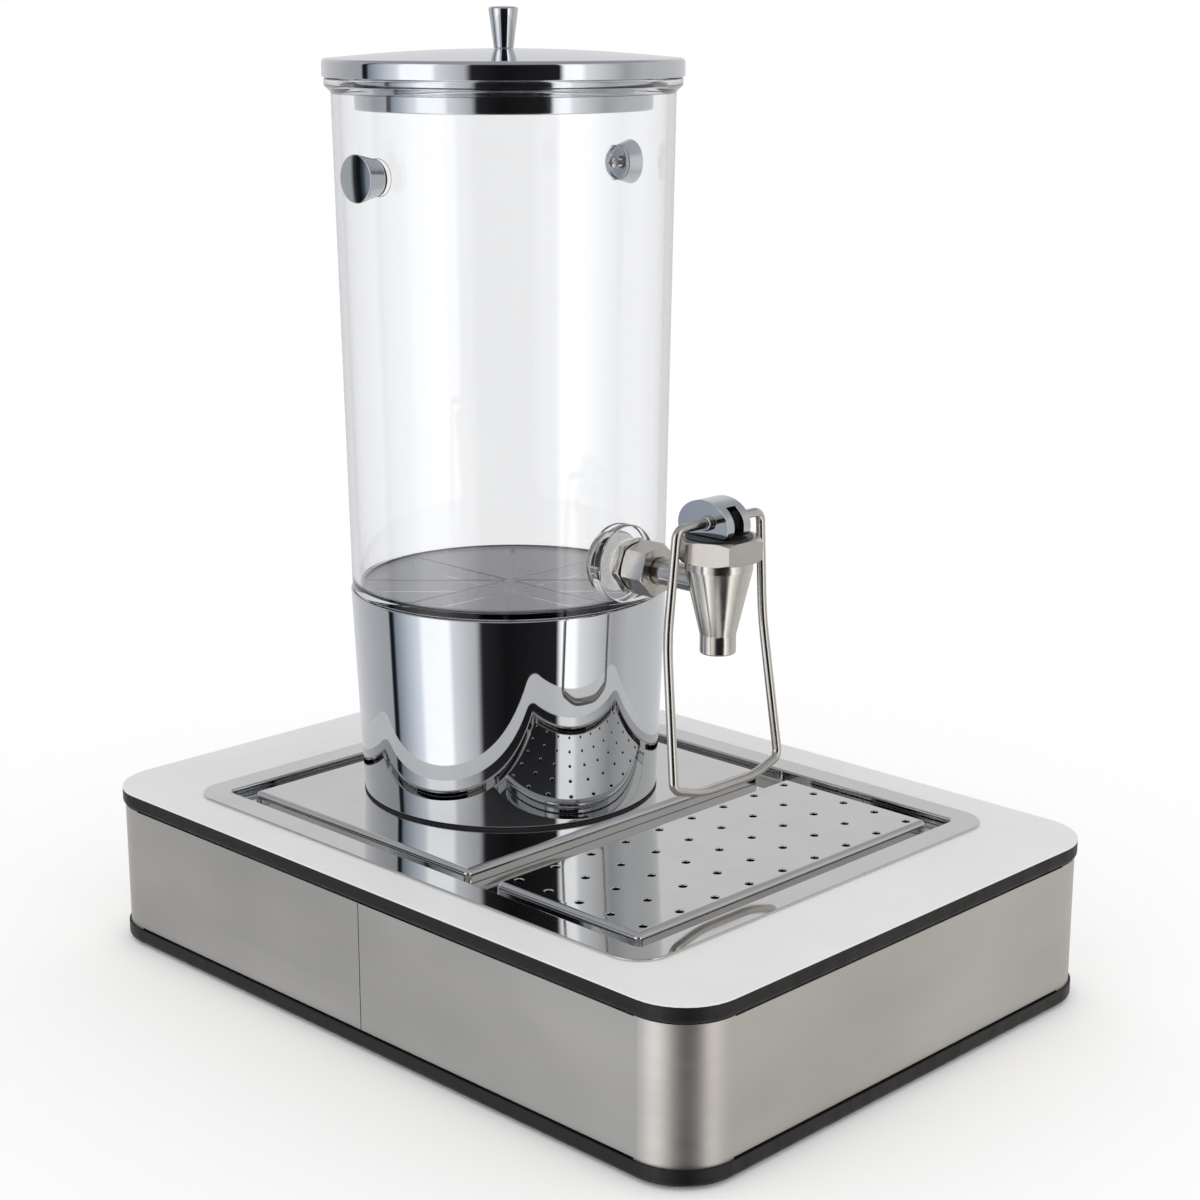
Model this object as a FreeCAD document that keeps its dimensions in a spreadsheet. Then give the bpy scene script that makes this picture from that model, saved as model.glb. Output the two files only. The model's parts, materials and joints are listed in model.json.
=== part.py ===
import FreeCAD, Part
import math
import os
import re

import Sketcher
from FreeCAD import Placement, Rotation, Vector

# A countertop drink dispenser: a clear tank with a lid and a push-bail tap
# stands in a bright metal cup on a boxed base with a drip tray.
# +Z is up, -Y is the front, where the tap is, and the origin is at the
# middle of the face that the feet stand on.  Lengths are in millimetres.

os.makedirs("parts", exist_ok=True)
doc = FreeCAD.newDocument("drink_dispenser")

# ---------------------------------------------------------------- dimensions
SIZES = {
    # base box
    "foot_drop": 1.0,
    "foot_tall": 3.0,
    "foot_radius": 9.0,
    "foot_across": 224.0,
    "foot_along": 340.0,
    "base_wide": 304.0,
    "base_long": 421.4,
    "base_corner": 29.2,
    "lower_board": 8.3,
    "upper_board": 9.0,
    "laminate": 0.8,
    "board_round": 2.6,
    "sleeve_tall": 65.8,
    "sleeve_inset": 1.2,
    "sleeve_sheet": 1.0,
    "sleeve_seam": 0.5,
    "sleeve_lift": 0.8,
    "sleeve_drop": 0.5,
    "sleeve_hem": 12.0,
    "hem_notch": 2.0,
    "post_across": 252.0,
    "post_along": 369.4,
    "post_radius": 7.0,
    "tie_radius": 2.5,
    "tie_head": 5.0,
    "tie_bite": 5.9,
    "tie_head_tall": 2.4,
    "tie_head_depth": 1.0,
    "tie_sink_deep": 3.4,
    "tie_socket_deep": 1.2,
    "tie_socket_radius": 2.0,
    # tray set in the top
    "tray_wide": 258.4,
    "tray_long": 325.0,
    "tray_corner": 8.0,
    "tray_sheet": 1.2,
    "rim_wide": 14.6,
    "gutter_wide": 9.0,
    "gutter_deep": 7.0,
    "deck_edge": 27.0,
    "drip_edge": 46.0,
    "plate_corner": 3.0,
    "plate_step": 2.64,
    "plate_round": 3.2,
    "board_gap": 1.2,
    "basin_inset": 8.6,
    "basin_deep": 39.3,
    "hole_radius": 2.0,
    "hole_step_across": 24.0,
    "hole_step_along": 20.0,
    "lift_gap": 0.3,
    # allowances: how far a cut runs past a face, and clearances of holes
    "past": 1.0,
    "slack": 0.2,
    "bolt_slack": 0.3,
    # cup that holds the tank
    "tank_back": 55.0,
    "mat_thick": 1.0,
    "cup_foot_radius": 76.7,
    "cup_rim_radius": 81.3,
    "cup_tall": 107.3,
    "cup_sheet": 1.6,
    "cup_floor": 2.0,
    "bolt_radius": 4.0,
    "bolt_head": 5.5,
    "bolt_key": 7.5,
    "bolt_below": 14.0,
    "nut_tall": 6.5,
    "washer_radius": 16.0,
    "washer_thick": 2.0,
    "spacer_radius": 20.0,
    # tank
    "tank_wall": 4.0,
    "tank_seat_radius": 80.5,
    "tank_top_radius": 84.8,
    "tank_tall": 255.0,
    "tank_lead": 0.8,
    "lip_tall": 7.0,
    "lip_radius": 88.0,
    "spigot_deep": 42.0,
    "spigot_radius": 79.2,
    "spigot_foot_radius": 77.4,
    "spigot_wall": 3.2,
    "floor_rise": 2.1,
    "floor_thick": 5.0,
    "rib_tall": 6.0,
    "rib_thick": 2.4,
    # handles on the tank's sides
    "grip_height": 404.0,
    "grip_seat": 84.8,
    "grip_seat_step": 1.6,
    "grip_boss_radius": 9.0,
    "grip_long": 11.0,
    "grip_bore_deep": 7.7,
    "grip_foot_radius": 9.0,
    "grip_face_radius": 11.5,
    "screw_radius": 2.0,
    "screw_head_radius": 3.4,
    "screw_head_tall": 2.6,
    "recess_deep": 1.4,
    "recess_long": 2.0,
    "recess_wide": 0.5,
    # tap port
    "port_height": 217.6,
    "port_face": 85.0,
    "port_back": 74.5,
    "port_boss_radius": 19.2,
    "port_radius": 7.0,
    "port_bore": 4.5,
    "port_flange_radius": 15.3,
    "port_flange_thick": 3.0,
    "port_flange_lead": 1.0,
    "port_seal_thick": 1.5,
    "port_seal_radius": 12.6,
    "port_seal_slack": 0.1,
    "port_reach": 16.0,
    "lock_nut_thick": 5.0,
    "lock_nut_corner": 13.9,
    "union_nut_corner": 13.4,
    "union_nut_long": 14.0,
    "union_nut_gap": 0.8,
    "nut_chamfer": 1.6,
    "union_seal_thick": 1.0,
    "union_recess": 2.0,
    "pipe_radius": 6.4,
    "pipe_slack": 0.9,
    "pipe_gap": 2.0,
    "collar_radius": 8.2,
    "collar_long": 3.0,
    # tap
    "tap_front": 89.7,
    "nozzle_radius": 8.65,
    "nozzle_lead": 0.6,
    "nozzle_foot": 184.3,
    "nozzle_tall": 9.1,
    "cone_tall": 32.2,
    "cone_radius": 16.3,
    "shoulder_tall": 4.4,
    "neck_radius": 13.4,
    "neck_tall": 6.6,
    "outlet_radius": 6.0,
    "chamber_radius": 10.5,
    "throat_tall": 20.0,
    "seat_tall": 6.0,
    "bonnet_corner": 21.5,
    "bonnet_tall": 11.0,
    "bonnet_roof": 3.6,
    "bonnet_chamfer": 2.4,
    "wear_slack": 0.4,
    "wear_radius": 16.2,
    "wear_thick": 0.6,
    # valve
    "stem_radius": 3.0,
    "stem_eye": 4.5,
    "stem_fit": 0.05,
    "collar_height": 219.0,
    "stem_collar": 6.0,
    "stem_collar_tall": 2.0,
    "stem_foot": 207.3,
    "seal_radius": 9.6,
    "seal_tall": 6.0,
    "seal_gap": 1.2,
    "seal_lead": 0.5,
    "seal_cone": 4.2,
    "spring_radius": 5.4,
    "spring_wire": 0.6,
    "spring_turns": 5.0,
    # lever
    "pivot_height": 248.5,
    "cam_wide": 16.2,
    "cam_long": 31.6,
    "cam_tall": 24.2,
    "cam_back": 3.2,
    "cam_dip": 1.8,
    "cam_flat": 6.6,
    "cam_heel": 3.0,
    "cam_slot": 3.3,
    "cam_slot_back": 6.5,
    "cam_slot_top": 7.5,
    "wire_radius": 2.25,
    "wire_bite": 5.0,
    "pin_radius": 2.0,
    "bail_collar_radius": 3.6,
    "bail_collar_long": 2.4,
    "bail_shoulder": 29.4,
    "bail_knee_out": 33.8,
    "bail_knee_drop": 52.5,
    "bail_knee_back": 1.4,
    "bail_foot_out": 37.5,
    "bail_foot_drop": 123.0,
    "bail_foot_fore": 7.0,
    "bail_bow": 5.6,
    "bail_bend": 5.0,
    "bail_knee_bend": 140.0,
    "bail_bow_bend": 50.0,
    # lid
    "lid_gap": 0.3,
    "lid_radius": 89.0,
    "lid_skirt": 8.6,
    "lid_dome": 4.6,
    "lid_sheet": 1.5,
    "lid_edge": 2.2,
    "lid_edge_corner": 0.66,
    "lid_bend": 2.7,
    "dome_outer_reach": 0.62,
    "dome_outer_rise": 0.62,
    "dome_inner_reach": 0.3,
    "dome_inner_rise": 0.91,
    "plug_radius": 73.4,
    "plug_deep": 15.6,
    "plate_slack": 0.1,
    "knob_tall": 20.0,
    "knob_top_radius": 7.35,
    "knob_foot_radius": 4.8,
    "knob_lead": 0.8,
    "knob_shoulder": 1.2,
    "knob_crown": 0.4,
    "knob_bore_deep": 11.0,
    "knob_bore_tip": 12.0,
    "lid_screw_reach": 10.0,
}

sheet = doc.addObject("Spreadsheet::Sheet", "dims")
for row, (alias, size) in enumerate(SIZES.items(), start=1):
    sheet.set(f"A{row}", str(size))
    sheet.setAlias(f"A{row}", alias)
doc.recompute()


def bound(text):
    """An expression in which each alias is read from the sheet."""
    return re.sub(r"[a-z]\w*", lambda word: f"dims.{word.group()}", text)


def number(text):
    """The present value of such an expression, in millimetres."""
    return float(sheet.evalExpression(bound(text)))


# levels and places that several sub-parts share, from the sizes above
LOW_TOP = "(foot_drop + lower_board)"
HIGH_FOOT = f"({LOW_TOP} + sleeve_tall)"
DECK = f"({HIGH_FOOT} + upper_board + tray_sheet)"
GUTTER = f"({DECK} - gutter_deep)"
MAT_TOP = f"({DECK} + mat_thick)"
CUP_RIM = f"({MAT_TOP} + cup_tall)"
SEAT = f"({CUP_RIM} + lift_gap)"
TANK_FLOOR = f"({SEAT} + floor_rise)"
TANK_TOP = f"({SEAT} + tank_tall)"
LID_FOOT = f"({TANK_TOP} + lid_gap)"
LID_TOP = f"({LID_FOOT} + lid_skirt + lid_dome)"
PLATE_HALF = "(tray_wide / 2 - rim_wide - gutter_wide)"
PLATE_END = "(tray_long / 2 - rim_wide - gutter_wide)"
SLEEVE_X = "(base_wide / 2 - sleeve_inset)"
SLEEVE_Y = "(base_long / 2 - sleeve_inset)"
SLEEVE_CORNER = "(base_corner - sleeve_inset)"
CONE_TOP = "(nozzle_foot + nozzle_tall + cone_tall)"
BONNET_FOOT = f"({CONE_TOP} + shoulder_tall)"
BONNET_TOP = f"({BONNET_FOOT} + bonnet_tall)"
STUB_TIP = "(port_face + port_reach)"
GRIP_INSIDE = "(tank_top_radius - tank_wall - grip_seat_step)"
UNION_FOOT = "(port_face + port_seal_thick + lock_nut_thick + union_nut_gap)"


# ------------------------------------------------------- modelling shorthand
def make_body(label, back="0", up="0"):
    """A body of its own, placed on the dispenser's middle plane."""
    body = doc.addObject("PartDesign::Body", label)
    body.Label = label
    body.setExpression("Placement.Base.y", bound(back))
    body.setExpression("Placement.Base.z", bound(up))
    return body


def origin_of(body, role):
    return next(item for item in body.Origin.OriginFeatures if item.Role == role)


def add_feature(body, kind, name):
    return body.newObject(f"PartDesign::{kind}", f"{body.Name}_{name}")


def make_sketch(body, role, lift):
    sketch = body.newObject("Sketcher::SketchObject", f"{body.Name}_sketch")
    sketch.AttachmentSupport = [(origin_of(body, role), "")]
    sketch.MapMode = "FlatFace"
    sketch.setExpression("AttachmentOffset.Base.z", bound(lift))
    return sketch


def hold(sketch, edge, point, across, along):
    """Hold a sketch point at two distances from the sketch's origin."""
    for kind, text in (("DistanceX", across), ("DistanceY", along)):
        index = sketch.addConstraint(
            Sketcher.Constraint(kind, -1, 1, edge, point, number(text))
        )
        sketch.setExpression(f"Constraints[{index}]", bound(text))


def outline(sketch, corners):
    """A closed outline of straight sides through the named corners."""
    places = [Vector(number(x), number(y), 0) for x, y in corners]
    count = len(places)
    for index, place in enumerate(places):
        following = places[(index + 1) % count]
        sketch.addGeometry(Part.LineSegment(place, following), False)
    for index, (x, y) in enumerate(corners):
        sketch.addConstraint(
            Sketcher.Constraint("Coincident", index, 2, (index + 1) % count, 1)
        )
        hold(sketch, index, 1, x, y)


def rounded_outline(sketch, left, right, front, rear, radius):
    """A rectangle with the same arc at its four corners."""
    x0, x1 = number(left), number(right)
    y0, y1 = number(front), number(rear)
    arc = number(radius)
    sides = [
        (Vector(x0 + arc, y0, 0), Vector(x1 - arc, y0, 0)),
        (Vector(x1, y0 + arc, 0), Vector(x1, y1 - arc, 0)),
        (Vector(x1 - arc, y1, 0), Vector(x0 + arc, y1, 0)),
        (Vector(x0, y1 - arc, 0), Vector(x0, y0 + arc, 0)),
    ]
    centres = [
        (x1 - arc, y0 + arc),
        (x1 - arc, y1 - arc),
        (x0 + arc, y1 - arc),
        (x0 + arc, y0 + arc),
    ]
    for start, end in sides:
        sketch.addGeometry(Part.LineSegment(start, end), False)
    for turn, (x, y) in enumerate(centres):
        start_angle = (turn - 1) * math.pi / 2
        circle = Part.Circle(Vector(x, y, 0), Vector(0, 0, 1), arc)
        sketch.addGeometry(
            Part.ArcOfCircle(circle, start_angle, start_angle + math.pi / 2), False
        )
    for side in range(4):
        level = "Horizontal" if side % 2 == 0 else "Vertical"
        sketch.addConstraint(Sketcher.Constraint(level, side))
        sketch.addConstraint(Sketcher.Constraint("Tangent", side, 2, 4 + side, 1))
        sketch.addConstraint(
            Sketcher.Constraint("Tangent", 4 + side, 2, (side + 1) % 4, 1)
        )
    for other in range(5, 8):
        sketch.addConstraint(Sketcher.Constraint("Equal", 4, other))
    index = sketch.addConstraint(Sketcher.Constraint("Radius", 4, arc))
    sketch.setExpression(f"Constraints[{index}]", bound(radius))
    for side, kind, text in (
        (0, "DistanceY", front),
        (1, "DistanceX", right),
        (2, "DistanceY", rear),
        (3, "DistanceX", left),
    ):
        index = sketch.addConstraint(
            Sketcher.Constraint(kind, -1, 1, side, 1, number(text))
        )
        sketch.setExpression(f"Constraints[{index}]", bound(text))


def block(body, name, sides, foot, top, cut=False):
    """Pad or pocket a rounded rectangle (left, right, front, rear, radius)."""
    if cut:
        sketch = make_sketch(body, "XY_Plane", top)
        feature = add_feature(body, "Pocket", name)
    else:
        sketch = make_sketch(body, "XY_Plane", foot)
        feature = add_feature(body, "Pad", name)
    rounded_outline(sketch, *sides)
    feature.Profile = sketch
    feature.setExpression("Length", bound(f"{top} - {foot}"))
    doc.recompute()
    return feature


def box(body, name, left, right, front, rear, foot, top, cut=False):
    """Add or remove a plain box given by its six faces."""
    kind = "SubtractiveBox" if cut else "AdditiveBox"
    feature = add_feature(body, kind, name)
    feature.setExpression("Placement.Base.x", bound(left))
    feature.setExpression("Placement.Base.y", bound(front))
    feature.setExpression("Placement.Base.z", bound(foot))
    feature.setExpression("Length", bound(f"{right} - ({left})"))
    feature.setExpression("Width", bound(f"{rear} - ({front})"))
    feature.setExpression("Height", bound(f"{top} - ({foot})"))
    doc.recompute()
    return feature


TURNS = {
    "up": Rotation(),
    "fore": Rotation(Vector(1, 0, 0), 90),
    "right": Rotation(Vector(0, 1, 0), 90),
    "left": Rotation(Vector(0, 1, 0), -90),
}
BOTH_SIDES = (("right", ""), ("left", "-"))


def rod(body, name, place, radius, long, way="up", cut=False):
    """Add or remove a cylinder that starts at a place and runs one way."""
    kind = "SubtractiveCylinder" if cut else "AdditiveCylinder"
    feature = add_feature(body, kind, name)
    feature.Placement = Placement(Vector(), TURNS[way])
    for letter, text in zip("xyz", place):
        feature.setExpression(f"Placement.Base.{letter}", bound(text))
    feature.setExpression("Radius", bound(radius))
    feature.setExpression("Height", bound(long))
    doc.recompute()
    return feature


def lathe(body, name, corners, cut=False, fore=False):
    """Turn an outline of (radius, height) corners into a round piece.

    The axis is the body's upright axis, or with fore the one that runs to
    the front, where heights count forwards.
    """
    if fore:
        sketch = make_sketch(body, "YZ_Plane", "0")
        outline(sketch, [(f"-({height})", radius) for radius, height in corners])
        axis = "H_Axis"
    else:
        sketch = make_sketch(body, "XZ_Plane", "0")
        outline(sketch, corners)
        axis = "V_Axis"
    feature = add_feature(body, "Groove" if cut else "Revolution", name)
    feature.Profile = sketch
    feature.ReferenceAxis = (sketch, [axis])
    feature.Angle = 360
    doc.recompute()
    return feature


def prism(body, name, corner, foot, tall, turn=0.0, way="up"):
    """Add a hexagonal bar, measured across its corners."""
    feature = add_feature(body, "AdditivePrism", name)
    feature.Polygon = 6
    spin = Rotation(Vector(0, 0, 1), turn)
    feature.Placement = Placement(Vector(), TURNS[way].multiply(spin))
    feature.setExpression("Placement.Base.z", bound(foot if way == "up" else "0"))
    feature.setExpression("Placement.Base.y", bound("0" if way == "up" else f"-({foot})"))
    feature.setExpression("Circumradius", bound(corner))
    feature.setExpression("Height", bound(tall))
    doc.recompute()
    return feature


def round_off(body, name, radius, wanted):
    """Fillet the edges of the tip that pass a test."""
    base = body.Tip
    names = [
        f"Edge{index}"
        for index, edge in enumerate(base.Shape.Edges, start=1)
        if wanted(edge)
    ]
    feature = add_feature(body, "Fillet", name)
    feature.Base = (base, names)
    feature.setExpression("Radius", bound(radius))
    doc.recompute()
    return feature


NEAR = 1e-4


def flat_at(level):
    """A test for edges that lie wholly in one level plane."""
    height = number(level)

    def wanted(edge):
        span = edge.BoundBox
        return abs(span.ZMin - height) < NEAR and abs(span.ZMax - height) < NEAR

    return wanted


def repeat_in_corners(body, features):
    """Copy features into all four quarters of the plan."""
    group = add_feature(body, "MultiTransform", "corners")
    mirrors = []
    for role in ("YZ_Plane", "XZ_Plane"):
        mirror = add_feature(body, "Mirrored", f"across_{role[:2]}")
        mirror.MirrorPlane = (origin_of(body, role), [""])
        mirrors.append(mirror)
    group.Originals = features
    group.Transformations = mirrors
    body.Tip = group
    doc.recompute()
    return group


# ------------------------------------------------------------------ base box
def centred(wide, long, radius):
    """The five values of a rounded rectangle about the origin."""
    return (f"-({wide}) / 2", f"({wide}) / 2", f"-({long}) / 2", f"({long}) / 2", radius)


def make_rubber_feet():
    body = make_body("rubber_feet")
    place = ("foot_across / 2", "foot_along / 2", "0")
    foot = rod(body, "pad", place, "foot_radius", "foot_tall")
    repeat_in_corners(body, [foot])
    return body


def make_bottom_board():
    body = make_body("bottom_board")
    block(body, "board", centred("base_wide", "base_long", "base_corner"), "foot_drop", LOW_TOP)
    round_off(body, "lower_edge", "board_round", flat_at("foot_drop"))
    recess = rod(
        body,
        "foot_recess",
        ("foot_across / 2", "foot_along / 2", "0"),
        "foot_radius + stem_fit",
        "foot_tall",
        cut=True,
    )
    hole = rod(
        body,
        "tie_hole",
        ("post_across / 2", "post_along / 2", "foot_drop - past"),
        "tie_radius + slack",
        "lower_board + 2 * past",
        cut=True,
    )
    sink = rod(
        body,
        "tie_sink",
        ("post_across / 2", "post_along / 2", "foot_drop - past"),
        "tie_head + bolt_slack",
        "tie_sink_deep + past",
        cut=True,
    )
    repeat_in_corners(body, [recess, hole, sink])
    return body


def make_sleeve(label, side):
    """One bent sheet of the sleeve: side is -1 for the front, 1 for the rear."""
    body = make_body(label)
    block(
        body,
        "skin",
        (f"-{SLEEVE_X}", SLEEVE_X, f"-{SLEEVE_Y}", SLEEVE_Y, SLEEVE_CORNER),
        LOW_TOP,
        HIGH_FOOT,
    )
    block(
        body,
        "hollow",
        (
            f"sleeve_sheet - {SLEEVE_X}",
            f"{SLEEVE_X} - sleeve_sheet",
            f"sleeve_sheet - {SLEEVE_Y}",
            f"{SLEEVE_Y} - sleeve_sheet",
            f"{SLEEVE_CORNER} - sleeve_sheet",
        ),
        LOW_TOP,
        HIGH_FOOT,
        cut=True,
    )
    seam = "sleeve_seam / 2"
    far = "base_long"
    gone = (f"-({seam})", far) if side < 0 else (f"-({far})", seam)
    top = f"{HIGH_FOOT} + past"
    box(body, "other_half", "-base_wide", "base_wide", *gone, "0", top, cut=True)
    flat_x = f"({SLEEVE_X} - {SLEEVE_CORNER} - hem_notch)"
    flat_y = f"({SLEEVE_Y} - {SLEEVE_CORNER} - hem_notch)"
    reach = "(sleeve_sheet + past)"
    levels = {
        "low": (f"{LOW_TOP} - past", f"{LOW_TOP} + sleeve_lift"),
        "high": (f"{HIGH_FOOT} - sleeve_drop", top),
    }
    hems = {
        "low": (f"{LOW_TOP} + sleeve_lift", f"{LOW_TOP} + sleeve_lift + sleeve_sheet"),
        "high": (
            f"{HIGH_FOOT} - sleeve_drop - sleeve_sheet",
            f"{HIGH_FOOT} - sleeve_drop",
        ),
    }
    end_face = f"{SLEEVE_Y} - sleeve_sheet"
    side_face = f"({SLEEVE_X} - sleeve_sheet)"
    for edge in ("low", "high"):
        end = (f"{SLEEVE_Y} - {reach}", f"{SLEEVE_Y} + past")
        hem = (f"{end_face} - sleeve_hem", end_face)
        run = (seam, flat_y)
        if side < 0:
            end = (f"-({end[1]})", f"-({end[0]})")
            hem = (f"-({hem[1]})", f"-({hem[0]})")
            run = (f"-{flat_y}", f"-({seam})")
        box(body, f"{edge}_end_gap", f"-{flat_x}", flat_x, *end, *levels[edge], cut=True)
        for name, left, right in (
            ("left", f"-{SLEEVE_X} - past", f"{reach} - {SLEEVE_X}"),
            ("right", f"{SLEEVE_X} - {reach}", f"{SLEEVE_X} + past"),
        ):
            open_run = ("-past", flat_y) if side > 0 else (f"-{flat_y}", "past")
            box(body, f"{edge}_{name}_gap", left, right, *open_run, *levels[edge], cut=True)
        box(body, f"{edge}_end_hem", f"-{flat_x}", flat_x, *hem, *hems[edge])
        for name, left, right in (
            ("left", f"-{side_face}", f"sleeve_hem - {side_face}"),
            ("right", f"{side_face} - sleeve_hem", side_face),
        ):
            box(body, f"{edge}_{name}_hem", left, right, *run, *hems[edge])
    return body


def make_spacer_posts():
    body = make_body("spacer_posts")
    place = ("post_across / 2", "post_along / 2", LOW_TOP)
    post = rod(body, "post", place, "post_radius", "sleeve_tall")
    bore = rod(body, "bore", place, "tie_radius + slack", "sleeve_tall", cut=True)
    repeat_in_corners(body, [post, bore])
    return body


def make_tie_screws():
    body = make_body("tie_screws")
    head_foot = "(foot_drop + tie_head_depth)"
    place = ("post_across / 2", "post_along / 2", head_foot)
    head = rod(body, "head", place, "tie_head", "tie_head_tall")
    shank = rod(body, "shank", place, "tie_radius", f"{HIGH_FOOT} + tie_bite - {head_foot}")
    socket = rod(
        body,
        "socket",
        ("post_across / 2", "post_along / 2", f"{head_foot} - past"),
        "tie_socket_radius",
        "tie_socket_deep + past",
        cut=True,
    )
    repeat_in_corners(body, [head, shank, socket])
    return body


def cut_tray_window(body, foot, top):
    gap = "(tray_sheet + board_gap)"
    block(
        body,
        "tray_window",
        (
            f"rim_wide - tray_wide / 2 - {gap}",
            f"tray_wide / 2 - rim_wide + {gap}",
            f"rim_wide - tray_long / 2 - {gap}",
            f"tray_long / 2 - rim_wide + {gap}",
            "tray_corner",
        ),
        foot,
        top,
        cut=True,
    )


def make_top_board():
    body = make_body("top_board")
    top = f"({HIGH_FOOT} + upper_board - laminate)"
    block(body, "board", centred("base_wide", "base_long", "base_corner"), HIGH_FOOT, top)
    round_off(body, "lower_edge", "board_round", flat_at(HIGH_FOOT))
    cut_tray_window(body, f"({HIGH_FOOT} - past)", f"({top} + past)")
    insert = rod(
        body,
        "screw_hole",
        ("post_across / 2", "post_along / 2", f"{HIGH_FOOT} - past"),
        "tie_radius + stem_fit",
        "tie_bite + slack + past",
        cut=True,
    )
    repeat_in_corners(body, [insert])
    return body


def make_top_laminate():
    body = make_body("top_laminate")
    foot = f"({HIGH_FOOT} + upper_board - laminate)"
    top = f"({HIGH_FOOT} + upper_board)"
    block(body, "face", centred("base_wide", "base_long", "base_corner"), foot, top)
    cut_tray_window(body, f"({foot} - past)", f"({top} + past)")
    return body


# ---------------------------------------------------------------------- tray
def make_tray_pan():
    """A pressed pan: rim, gutter all round and a basin under the drip plate."""
    body = make_body("tray_pan")
    rim_foot = f"({DECK} - tray_sheet)"
    gutter_foot = f"({GUTTER} - tray_sheet)"
    basin_foot = f"({DECK} - basin_deep)"
    wide = "(tray_wide / 2 - rim_wide)"
    long = "(tray_long / 2 - rim_wide)"
    bead = "(plate_corner + tray_sheet)"
    block(body, "rim", centred("tray_wide", "tray_long", "tray_corner"), rim_foot, DECK)
    block(
        body,
        "tub",
        (
            f"-{wide} - tray_sheet",
            f"{wide} + tray_sheet",
            f"-{long} - tray_sheet",
            f"{long} + tray_sheet",
            bead,
        ),
        gutter_foot,
        rim_foot,
    )
    left = f"basin_inset - {PLATE_HALF}"
    right = f"{PLATE_HALF} - basin_inset"
    front = f"basin_inset - {PLATE_END}"
    rear = "-drip_edge - basin_inset"
    block(
        body,
        "basin",
        (
            f"{left} - tray_sheet",
            f"{right} + tray_sheet",
            f"{front} - tray_sheet",
            f"{rear} + tray_sheet",
            "tray_corner",
        ),
        basin_foot,
        gutter_foot,
    )
    block(
        body,
        "gutter",
        (f"-{wide}", wide, f"-{long}", long, "plate_corner"),
        GUTTER,
        f"({DECK} + past)",
        cut=True,
    )
    block(
        body,
        "basin_hollow",
        (left, right, front, rear, "tray_corner - tray_sheet"),
        f"({basin_foot} + tray_sheet)",
        f"({GUTTER} + past)",
        cut=True,
    )
    rod(
        body,
        "bolt_hole",
        ("0", "tank_back", f"{gutter_foot} - past"),
        "bolt_radius + bolt_slack",
        "tray_sheet + 2 * past",
        cut=True,
    )
    return body


def shell_plate(body, front, rear, foot):
    """A plate whose edges roll over and stand down as a skirt."""
    half = PLATE_HALF
    block(body, "blank", (f"-{half}", half, front, rear, "plate_corner"), foot, DECK)
    round_off(body, "rolled_edge", "plate_round", flat_at(DECK))
    block(
        body,
        "underside",
        (
            f"tray_sheet - {half}",
            f"{half} - tray_sheet",
            f"{front} + tray_sheet",
            f"{rear} - tray_sheet",
            "plate_corner - tray_sheet",
        ),
        f"({foot} - past)",
        f"({DECK} - tray_sheet * 2)",
        cut=True,
    )
    inner = "plate_step"
    block(
        body,
        "underside_step",
        (
            f"{inner} - {half}",
            f"{half} - {inner}",
            f"{front} + {inner}",
            f"{rear} - {inner}",
            "plate_corner",
        ),
        f"({foot} - past)",
        f"({DECK} - tray_sheet)",
        cut=True,
    )


def make_deck_plate():
    body = make_body("deck_plate")
    shell_plate(body, "-deck_edge", PLATE_END, GUTTER)
    rod(
        body,
        "bolt_hole",
        ("0", "tank_back", f"{DECK} - tray_sheet - past"),
        "bolt_radius + bolt_slack",
        "tray_sheet + 2 * past",
        cut=True,
    )
    return body


HOLES_ACROSS = 9
HOLES_ALONG = 5


def make_drip_plate():
    body = make_body("drip_plate")
    shell_plate(body, f"-{PLATE_END}", "-drip_edge", f"({GUTTER} + lift_gap)")
    across = f"hole_step_across * {HOLES_ACROSS - 1}"
    along = f"hole_step_along * {HOLES_ALONG - 1}"
    middle = f"(-{PLATE_END} - drip_edge) / 2"
    hole = rod(
        body,
        "hole",
        (f"-({across}) / 2", f"{middle} - ({along}) / 2", f"{DECK} - tray_sheet - past"),
        "hole_radius",
        "tray_sheet + 2 * past",
        cut=True,
    )
    grid = add_feature(body, "MultiTransform", "hole_grid")
    rows = add_feature(body, "LinearPattern", "across")
    rows.Direction = (origin_of(body, "X_Axis"), [""])
    rows.Occurrences = HOLES_ACROSS
    rows.setExpression("Length", bound(across))
    columns = add_feature(body, "LinearPattern", "along")
    columns.Direction = (origin_of(body, "Y_Axis"), [""])
    columns.Occurrences = HOLES_ALONG
    columns.setExpression("Length", bound(along))
    grid.Originals = [hole]
    grid.Transformations = [rows, columns]
    body.Tip = grid
    doc.recompute()
    return body


# ----------------------------------------------------------- cup and its bolt
def make_stand_mat():
    body = make_body("stand_mat", back="tank_back")
    rod(body, "disc", ("0", "0", DECK), "cup_foot_radius + slack", "mat_thick")
    rod(
        body,
        "bolt_hole",
        ("0", "0", f"{DECK} - past"),
        "bolt_radius + bolt_slack",
        "mat_thick + 2 * past",
        cut=True,
    )
    return body


def make_stand_cup():
    body = make_body("stand_cup", back="tank_back")
    lathe(
        body,
        "cup",
        [
            ("bolt_radius + bolt_slack", MAT_TOP),
            ("cup_foot_radius", MAT_TOP),
            ("cup_rim_radius", CUP_RIM),
            ("cup_rim_radius - cup_sheet", CUP_RIM),
            ("cup_foot_radius - cup_sheet", f"{MAT_TOP} + cup_floor"),
            ("bolt_radius + bolt_slack", f"{MAT_TOP} + cup_floor"),
        ],
    )
    return body


def make_stand_bolt():
    body = make_body("stand_bolt", back="tank_back")
    seat = f"({MAT_TOP} + cup_floor)"
    foot = f"({GUTTER} - bolt_below)"
    rod(body, "shank", ("0", "0", foot), "bolt_radius", f"{seat} - {foot}")
    prism(body, "head", "bolt_key", seat, "bolt_head")
    return body


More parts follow.
